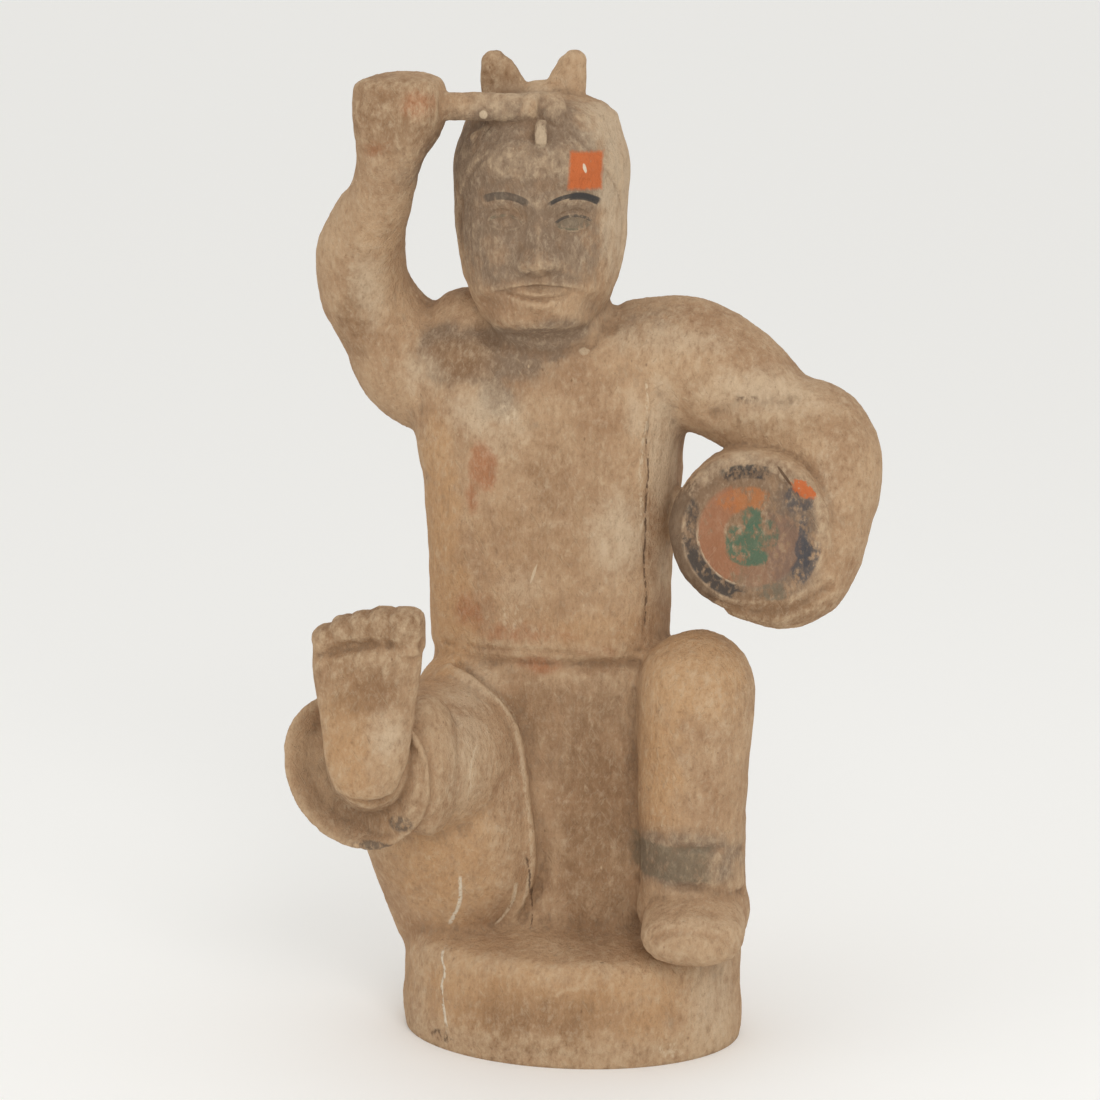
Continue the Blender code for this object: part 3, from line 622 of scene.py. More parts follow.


# Where dust, ochre, grey wash and red traces lie, and where shade, shadow and light are painted into the
# colour: centre and radii in mm, amount
stainsAndPaintedLight = {
    "dust": [((118, -25, 318), (46, 30, 16), 0.75), ((60, -25, 345), (46, 30, 14), 0.6),
             ((150, -20, 262), (14, 30, 50), 0.45), ((-108, -30, 376), (12, 30, 34), 0.75),
             ((-80, -28, 322), (18, 30, 18), 0.6), ((34, -34, 236), (18, 26, 28), 0.8),
             ((-46, -35, 302), (24, 26, 18), 0.7), ((-30, -35, 296), (20, 26, 22), 0.6),
             ((-68, -138, 142), (12, 20, 16), 0.75), ((-44, -60, 150), (20, 40, 22), 0.6),
             ((-30, -50, 70), (16, 30, 60), 0.4), ((90, -50, 150), (20, 30, 34), 0.35),
             ((0, -80, -30), (60, 30, 20), 0.25), ((31, -24, 430), (9, 30, 60), 1.0),
             ((43, -30, 304), (7, 20, 20), 0.6), ((-60, -20, 420), (5, 30, 40), 0.5),
             ((90, -70, 26), (26, 24, 8), 0.4), ((-14, -40, 480), (40, 40, 8), 0.5),
             ((100, -40, 285), (20, 20, 12), 0.4), ((-20, -36, 206), (18, 20, 14), 0.5),
             # the two spots on the next line are painted light on the strip right of the side seam, which the
             # drum shades; the other spots are dust
             ((57, -18, 282), (9, 20, 44), 1.0), ((54, -8, 215), (8, 20, 30), 0.6),
             ((26, -26, 462), (14, 30, 20), 0.9), ((-44, -74, 120), (20, 34, 54), 0.6),
             ((90, -34, -28), (20, 34, 40), 0.7), ((-78, -47, -30), (12, 30, 44), 0.45),
             ((4, -58, 2), (70, 20, 9), 0.35)],
    "ochre": [((-70, -26, 186), (22, 40, 40), 1.0), ((78, -40, 168), (28, 30, 30), 1.0),
              ((-90, -128, 140), (18, 20, 50), 0.8), ((60, -40, 110), (18, 40, 60), 0.7),
              ((0, -60, -24), (110, 60, 30), 0.6), ((-70, -30, 240), (14, 40, 60), 0.8),
              ((20, -30, 180), (50, 30, 18), 0.4), ((-60, -40, 60), (40, 60, 60), 0.6),
              ((-30, -30, 230), (60, 30, 80), 0.25), ((-80, -60, 100), (10, 80, 60), 0.5)],
    "greyWash": [((-14, -60, 436), (50, 60, 34), 1.0), ((-26, -60, 405), (38, 50, 30), 0.7),
                 # the spots from here down to (2, -34, 351) lie across the upper chest under the chin:
                 # painted shadow, the head's cast shadow
                 ((-66, -27, 333), (16, 30, 14), 1.0), ((-47, -31, 333), (19, 30, 13), 1.0),
                 ((-30, -33, 335), (19, 30, 14), 1.0), ((-14, -35, 341), (18, 30, 12), 1.0),
                 ((2, -34, 351), (14, 24, 9), 0.85), ((-34, -38, 312), (12, 14, 14), 0.55),
                 ((10, -50, 400), (20, 50, 26), 0.6), ((109, -46, 242), (46, 8, 46), 0.75),
                 ((72, -50, 58), (34, 34, 14), 0.9), ((-96, -100, 84), (34, 20, 34), 0.2),
                 ((20, -30, 120), (34, 30, 60), 0.2), ((40, -30, 360), (30, 30, 16), 0.4)],
    "redWash": [((-66, -82, 474), (12, 20, 8), 0.6), ((-92, -80, 450), (16, 20, 10), 0.3),
                ((-43, -38, 270), (9, 12, 14), 0.85), ((-48, -38, 258), (6, 12, 12), 0.6),
                ((-11, -34, 160), (14, 12, 6), 0.6), ((-21, -36, 178), (36, 12, 8), 0.4),
                ((100, -10, 330), (30, 20, 10), 0.2), ((24, -33, 170), (16, 12, 6), 0.35),
                ((-50, -33, 190), (14, 12, 12), 0.5)],
    # painted shade: darker where less light falls, under the drum hand, on the lap, skirt, toes, cuff, fist,
    # drum, arms, chest and plinth front, darker towards the plinth's foot, and the head's cast shadow on the
    # chest; on the lap it is dirt too
    "shadeWash": [((20, -30, 70), (22, 40, 90), 0.6), ((-14, -34, 130), (40, 20, 30), 0.35),
                  ((-60, -29, 330), (22, 30, 12), 0.7), ((-84, -78, 468), (30, 24, 20), 0.9),
                  ((126, -40, 200), (44, 30, 12), 0.6), ((-90, -110, 96), (44, 26, 30), 0.5),
                  ((-80, -134, 172), (34, 24, 30), 0.5), ((109, -46, 244), (40, 6, 40), 0.5),
                  ((-80, -140, 202), (36, 16, 14), 0.9), ((-36, -28, 488), (14, 30, 18), 0.7),
                  ((0, -74, -34), (54, 30, 22), 0.45), ((-4, -36, 262), (40, 20, 60), 0.3),
                  ((-118, -20, 350), (14, 30, 24), 0.6), ((116, -20, 300), (40, 30, 12), 0.4),
                  ((-8, -60, -50), (90, 60, 8), 0.4)],
}


def paintStainsAndLight(mesh):
    points = readPoints(mesh)
    for name, spots in stainsAndPaintedLight.items():
        amount = np.zeros(len(points))
        for centre, radii, strength in spots:
            away = (((points - centre) / radii) ** 2).sum(1)
            amount = np.maximum(amount, strength * np.exp(-away * 0.9))
        storeField(mesh, name, amount)
    storeField(mesh, "hollow", hollowness(mesh, 12))


refineFace(clayMesh)
pressFace(clayMesh)
figure = bpy.data.objects.new("terracottaFigure", clayMesh)
bpy.context.scene.collection.objects.link(figure)


def linear(code):
    parts = [int(code[i:i + 2], 16) / 255 for i in (1, 3, 5)]
    return [c / 12.92 if c <= 0.04045 else ((c + 0.055) / 1.055) ** 2.4 for c in parts] + [1]


# Terracotta, modelled by hand, wiped with a brush and fired without a glaze: dull, streaky and dusty,
# tan to grey-brown, with soil and painted shade in its hollows, rubbed edges, and painted shade, shadow and
# light laid into its colour.
clayLook = {"tan": "#bd9c7a", "brown": "#a58262", "dust": "#d2bc9f", "ochre": "#bf956a",
            "greyWash": "#86715d", "redWash": "#a9704d", "shadeWash": "#8a694b", "soil": "#6d5139",
            "rubbed": "#cbb08f"}
# Its noises: size in metres, detail, roughness, how much longer than wide, lean in degrees
noises = {"patches": (0.034, 4, 0.6, 1, 0), "clouds": (0.011, 5, 0.65, 1.3, 0),
          "mottle": (0.0040, 4, 0.7, 1.4, 14), "streaks": (0.0014, 3, 0.6, 0.0034 / 0.0014, 0),
          "scratches": (0.0016, 2, 0.5, 9, -32), "crossScratches": (0.0015, 2, 0.5, 8, 38),
          "grit": (0.0008, 3, 0.7, 1, 0), "flakes": (0.0028, 4, 0.65, 1.6, 0)}
# Washes laid or rubbed on, and painted shade, shadow and light: the noise that breaks each up, where it
# starts and is full, the most it covers
washes = {"ochre": ("clouds", 0.52, 1.15, 0.74), "greyWash": ("clouds", 0.42, 1.0, 0.95),
          "shadeWash": ("clouds", 0.45, 1.1, 0.8), "redWash": ("clouds", 0.62, 1.1, 0.8),
          "dust": ("breaks", 0.66, 1.30, 0.62)}
# Light and dark in the clay: a noise, where it starts and is full, the most it covers, its colour
tones = [("clouds", 0.50, 0.30, 0.45, "brown"), ("mottle", 0.52, 0.72, 0.36, "dust"),
         ("mottle", 0.46, 0.28, 0.32, "soil"), ("streaks", 0.52, 0.74, 0.22, "dust"),
         ("streaks", 0.46, 0.26, 0.22, "soil"), ("scratches", 0.59, 0.74, 0.24, "rubbed"),
         ("crossScratches", 0.60, 0.75, 0.18, "rubbed"), ("grit", 0.44, 0.26, 0.26, "soil")]
# Small dark pits and pale specks: where their pattern starts, colour, size as a share of the spacing, cover
pits = {"spacing": 0.008, "kinds": [(0.0, "soil", 0.099, 0.6), (9.0, "rubbed", 0.108, 0.7)]}
# Fine relief: how much of each noise it takes, its strength and its depth in metres
relief = {"streaks": 1.1, "mottle": 2.2, "scratches": -0.5, "strength": 0.8, "depth": 0.0008}
# Worn earth paints
paints = {"black": "#403d3b", "grey": "#68614f", "orange": "#c4693a", "brick": "#a76d4e", "green": "#4f6b56",
          "white": "#ddd0ba", "olive": "#746c5b", "pale": "#d3bd9f", "dark": "#5a4433", "slate": "#504e50",
          "rose": "#9a7159", "ember": "#b8713f"}


# A trace of paint: its place and radii in mm on the head, the drum or the body, each in its own frame.
# wear is how much has flaked off, most how thick the rest is, ragged how uneven its edge is. A ring is its
# radius and half width, and where its middle is when that isn't its home's own.
def painted(on, colour, at, radii, wear, most, turn=0, ragged=0.7, ring=None, square=False):
    return {"on": on, "colour": colour, "at": at, "radii": radii, "wear": wear, "most": most,
            "turn": turn, "ragged": ragged, "ring": ring, "square": square}


marks = [
    # on the drum's head: a black ring, a brick red one and a green middle
    painted("drum", "brick", (-18, 1, 21), (17, 28, 9), 0.36, 0.6, ragged=1.0, ring=(21.5, 7.4)),
    painted("drum", "ember", (-5, 20, 21), (15, 9, 9), 0.45, 0.65, ragged=1.2, ring=(20, 6.5)),
    painted("drum", "rose", (12, -11, 21), (20, 22, 9), 0.40, 0.5, ragged=1.0, ring=(21, 8.5)),
    painted("drum", "pale", (-20, -15, 21), (17, 22, 9), 0.46, 0.6, ring=(28.9, 0.7)),
    painted("drum", "black", (-22, -23, 21), (18, 16, 9), 0.41, 0.85, ragged=1.0, ring=(33, 4.0)),
    painted("drum", "black", (-34, 5, 21), (7, 16, 9), 0.48, 0.75, ring=(34, 4.2)),
    painted("drum", "black", (-3, 35, 21), (14, 8, 9), 0.47, 0.85, ragged=1.0, ring=(35, 4.0)),
    painted("drum", "slate", (26, 20, 21), (8, 8, 9), 0.46, 0.7, ragged=1.4),
    painted("drum", "slate", (29, 4, 21), (3, 8, 9), 0.45, 0.8, ragged=1.0),
    painted("drum", "slate", (22, -2, 21), (15, 30, 9), 0.44, 0.30, ragged=1.4),
    painted("drum", "slate", (32, -15, 21), (11, 13, 9), 0.43, 0.80, ragged=1.3, ring=(34, 5.5)),
    painted("drum", "slate", (29, -9, 21), (4.5, 9, 9), 0.42, 0.8, turn=10, ragged=1.3),
    # painted shade: a dark band on the drum's lower left rim, which is turned from the light
    painted("drum", "dark", (-36, -14, 18), (22, 40, 14), 0.24, 0.7, ragged=1.0, ring=(43, 5.5)),
    painted("drum", "olive", (13, -31, 21), (10, 5, 9), 0.46, 0.7, ragged=1.0),
    painted("drum", "black", (-4, -30, 21), (6, 2.4, 9), 0.50, 0.7, ragged=1.0),
    painted("drum", "green", (1, 9, 21), (5.5, 6.5, 9), 0.42, 0.85, ragged=1.5),
    painted("drum", "green", (2, -1, 21), (5.5, 8, 9), 0.42, 0.85, ragged=1.4),
    painted("drum", "green", (-8, -5, 21), (5.5, 10, 9), 0.43, 0.85, ragged=1.1),
    painted("drum", "green", (0, -12.5, 21), (11, 5, 9), 0.43, 0.88, ragged=1.1),
    painted("drum", "green", (11, 0, 21), (5, 9, 9), 0.47, 0.7, ragged=1.1),
    painted("drum", "orange", (28.5, 26, 21), (7.4, 3.8, 9), 0.38, 0.95, turn=-30, ragged=1.5),
    painted("drum", "dark", (18.4, 33, 21), (0.8, 7, 9), 0.36, 0.85, turn=37, ragged=0.8),
    # on the head: brows, lids and an orange square, and the pale tab in front
    painted("head", "orange", (25, -46, 28.6), (8.8, 30, 10), 0.30, 0.97, turn=3, ragged=0.3, square=True),
    painted("head", "white", (24.5, -46, 30), (0.9, 20, 2.6), 0.2, 0.9, turn=-14),
    painted("head", "black", (18, -48, 14), (13.5, 40, 6), 0.34, 0.9, ragged=0.4, ring=(22, 1.2, 19, -6.4)),
    painted("head", "black", (25, -44, 13.5), (8.5, 40, 6), 0.34, 0.92, ragged=0.4,
            ring=(22, 2.0, 19, -6.6)),
    painted("head", "black", (-18, -48, 14), (13, 40, 6), 0.36, 0.62, ragged=0.5,
            ring=(22, 2.1, -19, -6.6)),
    painted("head", "olive", (18.5, -48, 0.4), (9.5, 40, 3.6), 0.42, 0.45, ragged=0.8),
    painted("head", "black", (18.5, -48, 4), (12, 40, 5), 0.42, 0.75, ragged=0.4,
            ring=(14.5, 0.75, 18.5, -9.9)),
    painted("head", "grey", (18.5, -48, -3), (10, 40, 4), 0.44, 0.7, ragged=0.4,
            ring=(17, 0.6, 18.5, 14.2)),
    painted("head", "grey", (-18.5, -48, 4), (12, 40, 5), 0.48, 0.6, ragged=0.5,
            ring=(14.5, 0.8, -18.5, -9.9)),
    painted("head", "pale", (1, -50, 47), (3.4, 9, 8), 0.46, 0.45, ragged=1.2),
    # on the body: the grey band above the standing foot, dark paint in the cuff, small pale spots
    painted("body", "grey", (66, -50, 56), (25, 34, 10), 0.38, 0.5, ragged=0.55, square=True),
    painted("body", "black", (-70, -116, 84), (9, 14, 6), 0.46, 0.6),
    painted("body", "black", (-88, -108, 68), (15, 14, 4.5), 0.46, 0.6),
    painted("body", "pale", (-34, -64, 467.6), (2.4, 3, 2.6), 0.1, 0.8, ragged=0.4),
    painted("body", "pale", (-13, -38, 213), (0.8, 12, 6.0), 0.25, 0.7, turn=20, ragged=0.5),
    painted("body", "pale", (-22, -37, 254), (2.6, 12, 6.0), 0.50, 0.7, ragged=1.4),
    painted("body", "pale", (-29, -37, 300), (7, 12, 10), 0.54, 0.8, ragged=1.2),
    painted("body", "pale", (-26, -36, 188), (7, 12, 9), 0.53, 0.7, ragged=1.2),
    painted("body", "pale", (13, -28, 337), (2.6, 12, 1.9), 0.44, 0.5, ragged=2.0),
    painted("body", "dark", (-61, -60, -52), (10, 14, 4), 0.50, 0.8, ragged=1.2),
    painted("body", "pale", (70, -54, -52), (12, 14, 5), 0.54, 0.8, ragged=1.2),
    painted("body", "dark", (104, -24, 313), (6, 14, 2.4), 0.50, 0.7, ragged=1.2),
]


# A crack or scratch seen from the front: its course is a row of (height, sideways) in mm, its width is in mm.
# deep is how far it sinks, or rises below zero, as a share of the finest relief.
def scored(colour, course, width, most, wear, deep=None):
    return {"colour": colour, "course": course, "width": width, "most": most, "wear": wear,
            "deep": deep}


lines = [
    scored("dark", [(180, 46), (200, 47.4), (221, 46.6), (238, 47.8), (255, 48), (272, 49.4), (288, 48.4),
                    (304, 50.4)], 0.6, 0.75, 0.44, deep=1.4),
    scored("pale", [(236, 45.6), (250, 46), (268, 45.8), (284, 46.2), (300, 48.6), (324, 47.6)], 1.2, 0.8,
           0.46),
    scored("pale", [(8, -27), (32, -17), (54, -14), (84, -16), (117, -21), (137, -29), (150, -42)], 1.1,
           0.4, 0.42),
    scored("dark", [(6, -15.4), (22, -16.4), (38, -15.4), (52, -16.6)], 0.5, 0.75, 0.42, deep=1.2),
    scored("white", [(8, -61.4), (16, -57), (24, -53), (42, -51)], 1.4, 0.9, 0.36),
    scored("pale", [(8, -36), (14, -31), (22, -26), (36, -22)], 1.2, 0.9, 0.40),
    scored("white", [(-50, -56), (-40, -58.4), (-25, -61), (-14, -59), (-6, -61.4), (0, -60)], 1.2, 0.9,
           0.44, deep=-0.8),
    scored("pale", [(98, -38), (112, -37.4), (123, -36)], 0.6, 0.7, 0.36),
]


def clayMaterial():
    material = bpy.data.materials.new("handModelledTerracotta")
    material.use_nodes = True
    tree = material.node_tree
    add = partial(addNode, tree)
    shader = tree.nodes["Principled BSDF"]
    shader.inputs["IOR"].default_value = 1.5
    shader.inputs["Specular IOR Level"].default_value = 0.25
    place = add("ShaderNodeTexCoord").outputs["Object"]

    fields = {}
    for shift, (name, (size, detail, rough, longer, lean)) in enumerate(noises.items()):
        moved = add("ShaderNodeMapping", {"vector_type": "TEXTURE"}, {
            "Vector": place, "Scale": (1, 1, longer), "Rotation": (0, math.radians(lean), 0),
            "Location": (shift * 1.7, 0, 0)})
        fields[name] = add("ShaderNodeTexNoise", {}, {
            "Vector": moved.outputs[0], "Scale": 1 / size, "Detail": detail, "Roughness": rough}).outputs[0]

    colour = add("ShaderNodeMix", {"data_type": "RGBA"}, {
        6: linear(clayLook["brown"]), 7: linear(clayLook["tan"])})
    spread = add("ShaderNodeMapRange", {}, {"Value": fields["patches"], "From Min": 0.36, "From Max": 0.60})
    tree.links.new(spread.outputs[0], colour.inputs[0])
    colour = colour.outputs[2]

    fields["breaks"] = add("ShaderNodeMix", {"data_type": "FLOAT"}, {
        0: 0.5, 2: fields["mottle"], 3: fields["clouds"]}).outputs[0]
    for name, (breaker, low, high, most) in washes.items():
        amount = add("ShaderNodeAttribute", {"attribute_name": name}).outputs["Fac"]
        broken = add("ShaderNodeMath", {"operation": "ADD"}, {0: amount, 1: fields[breaker]})
        shown = add("ShaderNodeMapRange", {"interpolation_type": "SMOOTHSTEP"}, {
            "Value": broken.outputs[0], "From Min": low, "From Max": high, "To Max": most})
        strong = add("ShaderNodeMapRange", {}, {"Value": amount, "From Min": 0.02, "From Max": 0.35})
        kept = add("ShaderNodeMath", {"operation": "MULTIPLY"}, {0: shown.outputs[0], 1: strong.outputs[0]})
        colour = add("ShaderNodeMix", {"data_type": "RGBA"}, {
            0: kept.outputs[0], 6: colour, 7: linear(clayLook[name])}).outputs[2]

    for name, low, high, most, tone in tones:
        shown = add("ShaderNodeMapRange", {}, {
            "Value": fields[name], "From Min": low, "From Max": high, "To Max": most})
        colour = add("ShaderNodeMix", {"data_type": "RGBA"}, {
            0: shown.outputs[0], 6: colour, 7: linear(clayLook[tone])}).outputs[2]

    # painted shade and soil in hollows and along the strokes, rubbed proud edges
    hollow = add("ShaderNodeAttribute", {"attribute_name": "hollow"}).outputs["Fac"]
    stroke = add("ShaderNodeAttribute", {"attribute_name": "soil"}).outputs["Fac"]
    both = add("ShaderNodeMath", {"operation": "MULTIPLY_ADD"}, {0: stroke, 1: 0.45, 2: hollow})
    for sign, tone, most in ((1, "soil", 0.6), (-1, "rubbed", 0.5)):
        shown = add("ShaderNodeMapRange", {}, {
            "Value": both.outputs[0], "From Min": sign * 0.10, "From Max": sign * 0.80, "To Max": most})
        broken = add("ShaderNodeMapRange", {}, {
            "Value": fields["mottle"], "From Min": 0.32, "From Max": 0.60})
        kept = add("ShaderNodeMath", {"operation": "MULTIPLY"}, {0: shown.outputs[0], 1: broken.outputs[0]})
        colour = add("ShaderNodeMix", {"data_type": "RGBA"}, {
            0: kept.outputs[0], 6: colour, 7: linear(clayLook[tone])}).outputs[2]

    for shift, tone, large, most in pits["kinds"]:
        moved = add("ShaderNodeMapping", {}, {
            "Vector": place, "Scale": (1, 1, 0.6), "Location": (shift, 0, 0)})
        cells = add("ShaderNodeTexVoronoi", {}, {"Vector": moved.outputs[0], "Scale": 1 / pits["spacing"]})
        lit = add("ShaderNodeSeparateColor", {}, {0: cells.outputs["Color"]})
        size = add("ShaderNodeMapRange", {}, {
            "Value": lit.outputs[0], "From Min": 0.4, "From Max": 1.0, "To Min": 0.0, "To Max": large})
        inside = add("ShaderNodeMath", {"operation": "SUBTRACT"}, {
            0: size.outputs[0], 1: cells.outputs["Distance"]})
        shown = add("ShaderNodeMapRange", {}, {
            "Value": inside.outputs[0], "From Min": 0.0, "From Max": 0.05, "To Max": most})
        colour = add("ShaderNodeMix", {"data_type": "RGBA"}, {
            0: shown.outputs[0], 6: colour, 7: linear(clayLook[tone])}).outputs[2]

    # Worn paint. How near a place is to a mark's middle comes from a spherical gradient: with vector
    # lengths in its place the whole material is too big for Cycles and renders black.
    wearing = add("ShaderNodeMix", {"data_type": "FLOAT"}, {
        0: 0.4, 2: fields["flakes"], 3: fields["clouds"]}).outputs[0]
    homes = {"head": headPlace, "drum": drumPlace, "body": Matrix()}
    for mark in marks:
        home, onDrum = homes[mark["on"]], mark["on"] == "drum"
        turn = math.radians(mark["turn"])
        turned = home.to_3x3() @ Euler((0, 0, turn) if onDrum else (0, turn, 0)).to_matrix()
        local = add("ShaderNodeMapping", {"vector_type": "TEXTURE"}, {
            "Vector": place, "Location": onBody(home @ Vector(mark["at"])), "Rotation": turned.to_euler(),
            "Scale": [r * share * (1 if mark["square"] else 2) for r in mark["radii"]]}).outputs[0]
        if mark["square"]:
            sides = add("ShaderNodeVectorMath", {"operation": "ABSOLUTE"}, {0: local})
            sides = add("ShaderNodeSeparateXYZ", {}, {0: sides.outputs[0]})
            reach = add("ShaderNodeMath", {"operation": "MAXIMUM"}, {
                0: sides.outputs[0], 1: sides.outputs[2]})
            near = add("ShaderNodeMath", {"operation": "MULTIPLY_ADD"}, {
                0: reach.outputs[0], 1: -0.5, 2: 1.0})
        else:
            near = add("ShaderNodeTexGradient", {"gradient_type": "SPHERICAL"}, {"Vector": local})
        near = near.outputs["Value" if mark["square"] else "Fac"]
        ragged = mark["ragged"] / 2
        frayed = add("ShaderNodeMath", {"operation": "MULTIPLY_ADD"}, {
            0: fields["flakes"], 1: -ragged, 2: near})
        inside = add("ShaderNodeMapRange", {}, {
            "Value": frayed.outputs[0], "From Min": 0.45 - ragged / 2, "From Max": 0.55 - ragged / 2})
        kept = add("ShaderNodeMapRange", {}, {
            "Value": wearing, "From Min": mark["wear"] - 0.03, "From Max": mark["wear"] + 0.08,
            "To Max": mark["most"]})
        shown = add("ShaderNodeMath", {"operation": "MULTIPLY"}, {0: inside.outputs[0], 1: kept.outputs[0]})
        if mark["ring"]:
            radius, halfWidth = [r * share for r in mark["ring"][:2]]
            sideways, up = mark["ring"][2:] or (0, 0)
            middle = (sideways, up, 0) if onDrum else (sideways, 0, up)
            flat = add("ShaderNodeMapping", {"vector_type": "TEXTURE"}, {
                "Vector": place, "Location": onBody(home @ Vector(middle)), "Rotation": home.to_euler(),
                "Scale": [radius * s for s in ((2, 2, 900) if onDrum else (2, 900, 2))]})
            disc = add("ShaderNodeTexGradient", {"gradient_type": "SPHERICAL"}, {"Vector": flat.outputs[0]})
            away = add("ShaderNodeMath", {"operation": "MULTIPLY_ADD"}, {
                0: disc.outputs["Fac"], 1: -2.0, 2: 1.0})
            away = add("ShaderNodeMath", {"operation": "ABSOLUTE"}, {0: away.outputs[0]})
            band = add("ShaderNodeMapRange", {}, {
                "Value": away.outputs[0], "From Min": halfWidth / radius * 1.1,
                "From Max": halfWidth / radius * 0.85})
            shown = add("ShaderNodeMath", {"operation": "MULTIPLY"}, {
                0: shown.outputs[0], 1: band.outputs[0]})
        colour = add("ShaderNodeMix", {"data_type": "RGBA"}, {
            0: shown.outputs[0], 6: colour, 7: linear(paints[mark["colour"]])}).outputs[2]

    # cracks and scratches
    split = add("ShaderNodeSeparateXYZ", {}, {0: place})
    front = add("ShaderNodeMapRange", {}, {
        "Value": split.outputs["Y"], "From Min": -0.012, "From Max": -0.018})
    sunk = None
    for line in lines:
        heights, sides = zip(*line["course"])
        low, high = heights[0], heights[-1]
        left, right = min(sides) - 5, max(sides) + 5
        height = add("ShaderNodeMapRange", {}, {
            "Value": split.outputs["Z"], "From Min": low * share + plinth["height"],
            "From Max": high * share + plinth["height"]})
        course = add("ShaderNodeFloatCurve", {}, {"Value": height.outputs[0]})
        points = course.mapping.curves[0].points
        while len(points) < len(heights):
            points.new(0.5, 0.5)
        for point, z, x in zip(points, heights, sides):
            point.location = ((z - low) / (high - low), (x - left) / (right - left))
        course.mapping.update()
        sideways = add("ShaderNodeMapRange", {}, {
            "Value": course.outputs[0], "To Min": left * share, "To Max": right * share})
        wobble = add("ShaderNodeMath", {"operation": "MULTIPLY_ADD"}, {
            0: fields["mottle"], 1: 0.0024, 2: split.outputs["X"]})
        off = add("ShaderNodeMath", {"operation": "SUBTRACT"}, {0: wobble.outputs[0], 1: sideways.outputs[0]})
        off = add("ShaderNodeMath", {"operation": "SUBTRACT"}, {0: off.outputs[0], 1: 0.0012})
        off = add("ShaderNodeMath", {"operation": "ABSOLUTE"}, {0: off.outputs[0]})
        on = add("ShaderNodeMapRange", {}, {
            "Value": off.outputs[0], "From Min": line["width"] * share,
            "From Max": line["width"] * share * 0.4})
        ends = add("ShaderNodeMath", {"operation": "PINGPONG"}, {0: height.outputs[0], 1: 0.5})
        ends = add("ShaderNodeMapRange", {}, {"Value": ends.outputs[0], "From Max": 0.06})
        kept = add("ShaderNodeMapRange", {}, {
            "Value": fields["flakes"], "From Min": line["wear"], "From Max": line["wear"] + 0.08,
            "To Max": line["most"]})
        shown = on
        for more in (ends, kept, front):
            shown = add("ShaderNodeMath", {"operation": "MULTIPLY"}, {
                0: shown.outputs[0], 1: more.outputs[0]})
        colour = add("ShaderNodeMix", {"data_type": "RGBA"}, {
            0: shown.outputs[0], 6: colour, 7: linear(paints[line["colour"]])}).outputs[2]
        if line["deep"] is not None:
            sunk = add("ShaderNodeMath", {"operation": "MULTIPLY_ADD"}, {
                0: shown.outputs[0], 1: -line["deep"], 2: sunk.outputs[0] if sunk else 0.0})

    tree.links.new(colour, shader.inputs["Base Color"])
    rough = add("ShaderNodeMapRange", {}, {
        "Value": fields["grit"], "From Min": 0.3, "From Max": 0.7, "To Min": 0.82, "To Max": 0.97})
    tree.links.new(rough.outputs[0], shader.inputs["Roughness"])

    # fine relief: grit, brush hairs, scratches and cracks
    mixed = fields["grit"]
    for name in ("streaks", "mottle"):
        mixed = add("ShaderNodeMath", {"operation": "MULTIPLY_ADD"}, {
            0: fields[name], 1: relief[name], 2: mixed}).outputs[0]
    for name in ("scratches", "crossScratches"):
        cut = add("ShaderNodeMapRange", {}, {"Value": fields[name], "From Min": 0.60, "From Max": 0.72})
        mixed = add("ShaderNodeMath", {"operation": "MULTIPLY_ADD"}, {
            0: cut.outputs[0], 1: relief["scratches"], 2: mixed}).outputs[0]
    mixed = add("ShaderNodeMath", {"operation": "ADD"}, {0: mixed, 1: sunk.outputs[0]})
    bump = add("ShaderNodeBump", {}, {
        "Height": mixed.outputs[0], "Strength": relief["strength"], "Distance": relief["depth"]})
    tree.links.new(bump.outputs[0], shader.inputs["Normal"])
    return material


terracotta = clayMaterial()
toolStroke, handed = strokeTree(), handTree()
storeField(clayMesh, "soil", np.zeros(len(clayMesh.vertices)))
runTree(figure, handed, {**handWork, "Material": terracotta})
guides = []
for name, stroke in strokes.items():
    guides.append(pathCurve(name, stroke["paths"]))
    runTree(figure, toolStroke,
            {"Path": guides[-1], "Reach": stroke["reach"] * share, "Height": stroke["height"] * share,
             "PaintedShadeAndSoil": stroke["soil"], "Material": terracotta})
thin = figure.modifiers.new("thin out", "DECIMATE")
thin.ratio = min(1, clayGrain["triangles"] / sum(len(f.vertices) - 2 for f in clayMesh.polygons))
figureMesh = settled(figure)
for guide in guides:
    bpy.data.objects.remove(guide, do_unlink=True)
paintStainsAndLight(figureMesh)
figure = bpy.data.objects.new("terracottaFigure", figureMesh)
bpy.context.scene.collection.objects.link(figure)
for face in figureMesh.polygons:
    face.use_smooth = True
figureMesh.materials.clear()
figureMesh.materials.append(terracotta)
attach(figure, "root")
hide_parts(figureNode)
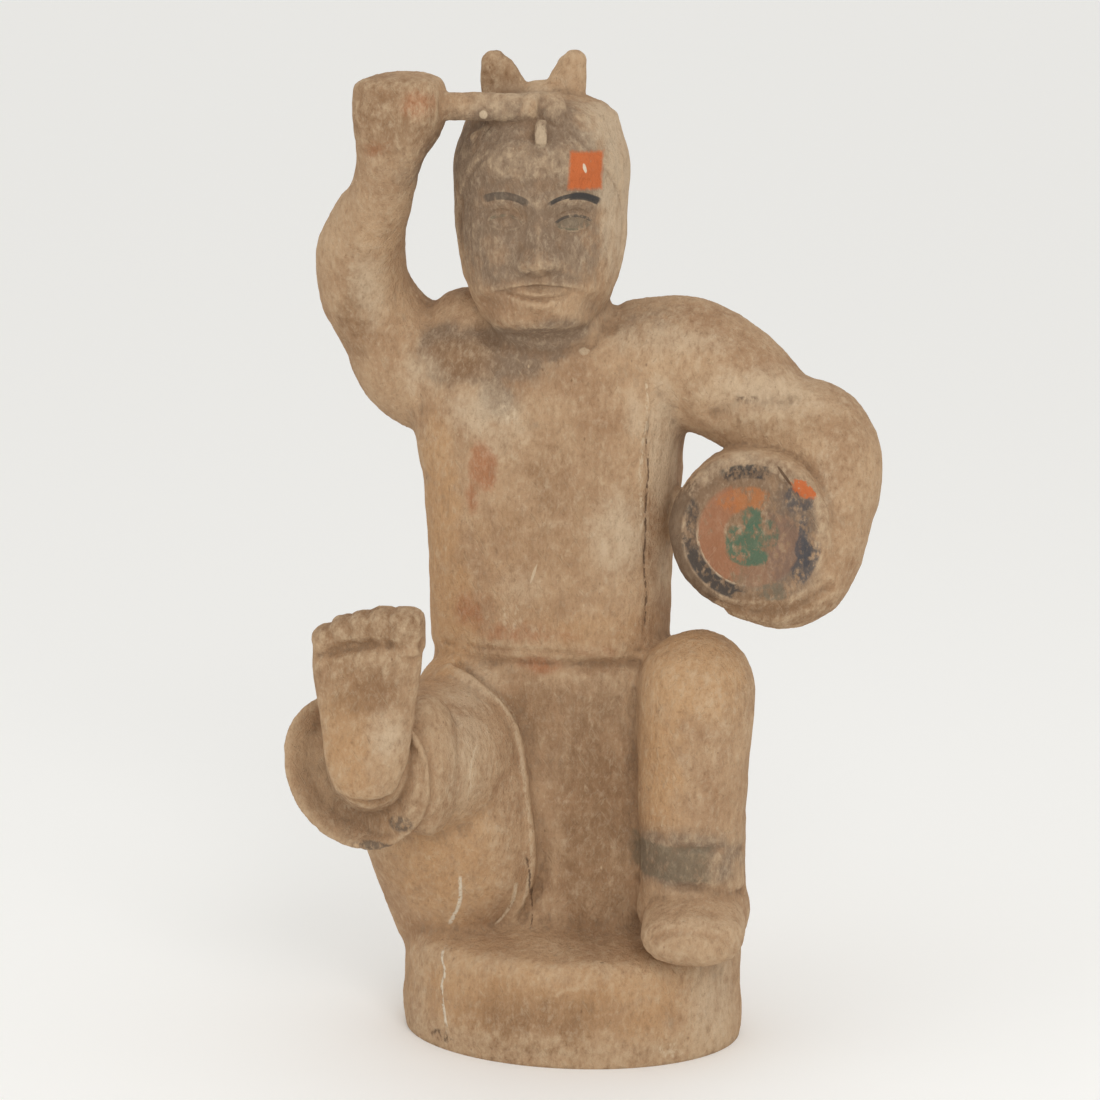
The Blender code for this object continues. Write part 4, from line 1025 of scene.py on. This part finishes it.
print("figure modelled:", len(figureMesh.polygons), "faces")

# Plain pale floor, soft light from the upper right, and a pale room
studio = {"floor": "#fdfdfb", "key": 10.6, "fill": 2.4, "sky": 0.89}
floorMesh = bpy.data.meshes.new("floor")
floorMesh.from_pydata([(-60, -60, 0), (60, -60, 0), (60, 60, 0), (-60, 60, 0)], [], [(0, 1, 2, 3)])
floor = bpy.data.objects.new("floor", floorMesh)
bpy.context.scene.collection.objects.link(floor)
floorPaper = bpy.data.materials.new("mattPaperFloor")
floorPaper.use_nodes = True
floorPaper.node_tree.nodes["Principled BSDF"].inputs["Base Color"].default_value = linear(studio["floor"])
floorPaper.node_tree.nodes["Principled BSDF"].inputs["Roughness"].default_value = 0.9
floorMesh.materials.append(floorPaper)

world = bpy.data.worlds.new("paleRoom")
world.use_nodes = True
world.node_tree.nodes["Background"].inputs["Color"].default_value = linear("#f6f5f3")
world.node_tree.nodes["Background"].inputs["Strength"].default_value = studio["sky"]
bpy.context.scene.world = world

for name, power, size, spot, aim in (("key", studio["key"], 0.8, (0.78, -1.58, 1.2), (0, 0, 0.28)),
                                     ("fill", studio["fill"], 1.4, (-1.5, -1.4, 0.9), (0, 0, 0.25))):
    lamp = bpy.data.lights.new(name, "AREA")
    lamp.energy, lamp.size = power, size
    light = bpy.data.objects.new(name, lamp)
    light.location = spot
    light.rotation_euler = (Vector(aim) - Vector(spot)).to_track_quat("-Z", "Y").to_euler()
    bpy.context.scene.collection.objects.link(light)

# The photograph's own viewpoint
shot = {"place": (0.45657, -1.83118, 0.64098), "forward": (-0.24406, 0.95141, -0.18778), "lens": 111.27}
lensData = bpy.data.cameras.new("camera")
lensData.lens, lensData.sensor_width, lensData.sensor_height = shot["lens"], 36, 36
camera = bpy.data.objects.new("camera", lensData)
camera.location = shot["place"]
camera.rotation_euler = Vector(shot["forward"]).to_track_quat("-Z", "Y").to_euler()
bpy.context.scene.collection.objects.link(camera)
bpy.context.scene.camera = camera
bpy.context.scene.view_settings.view_transform = "Standard"
print("studio set")
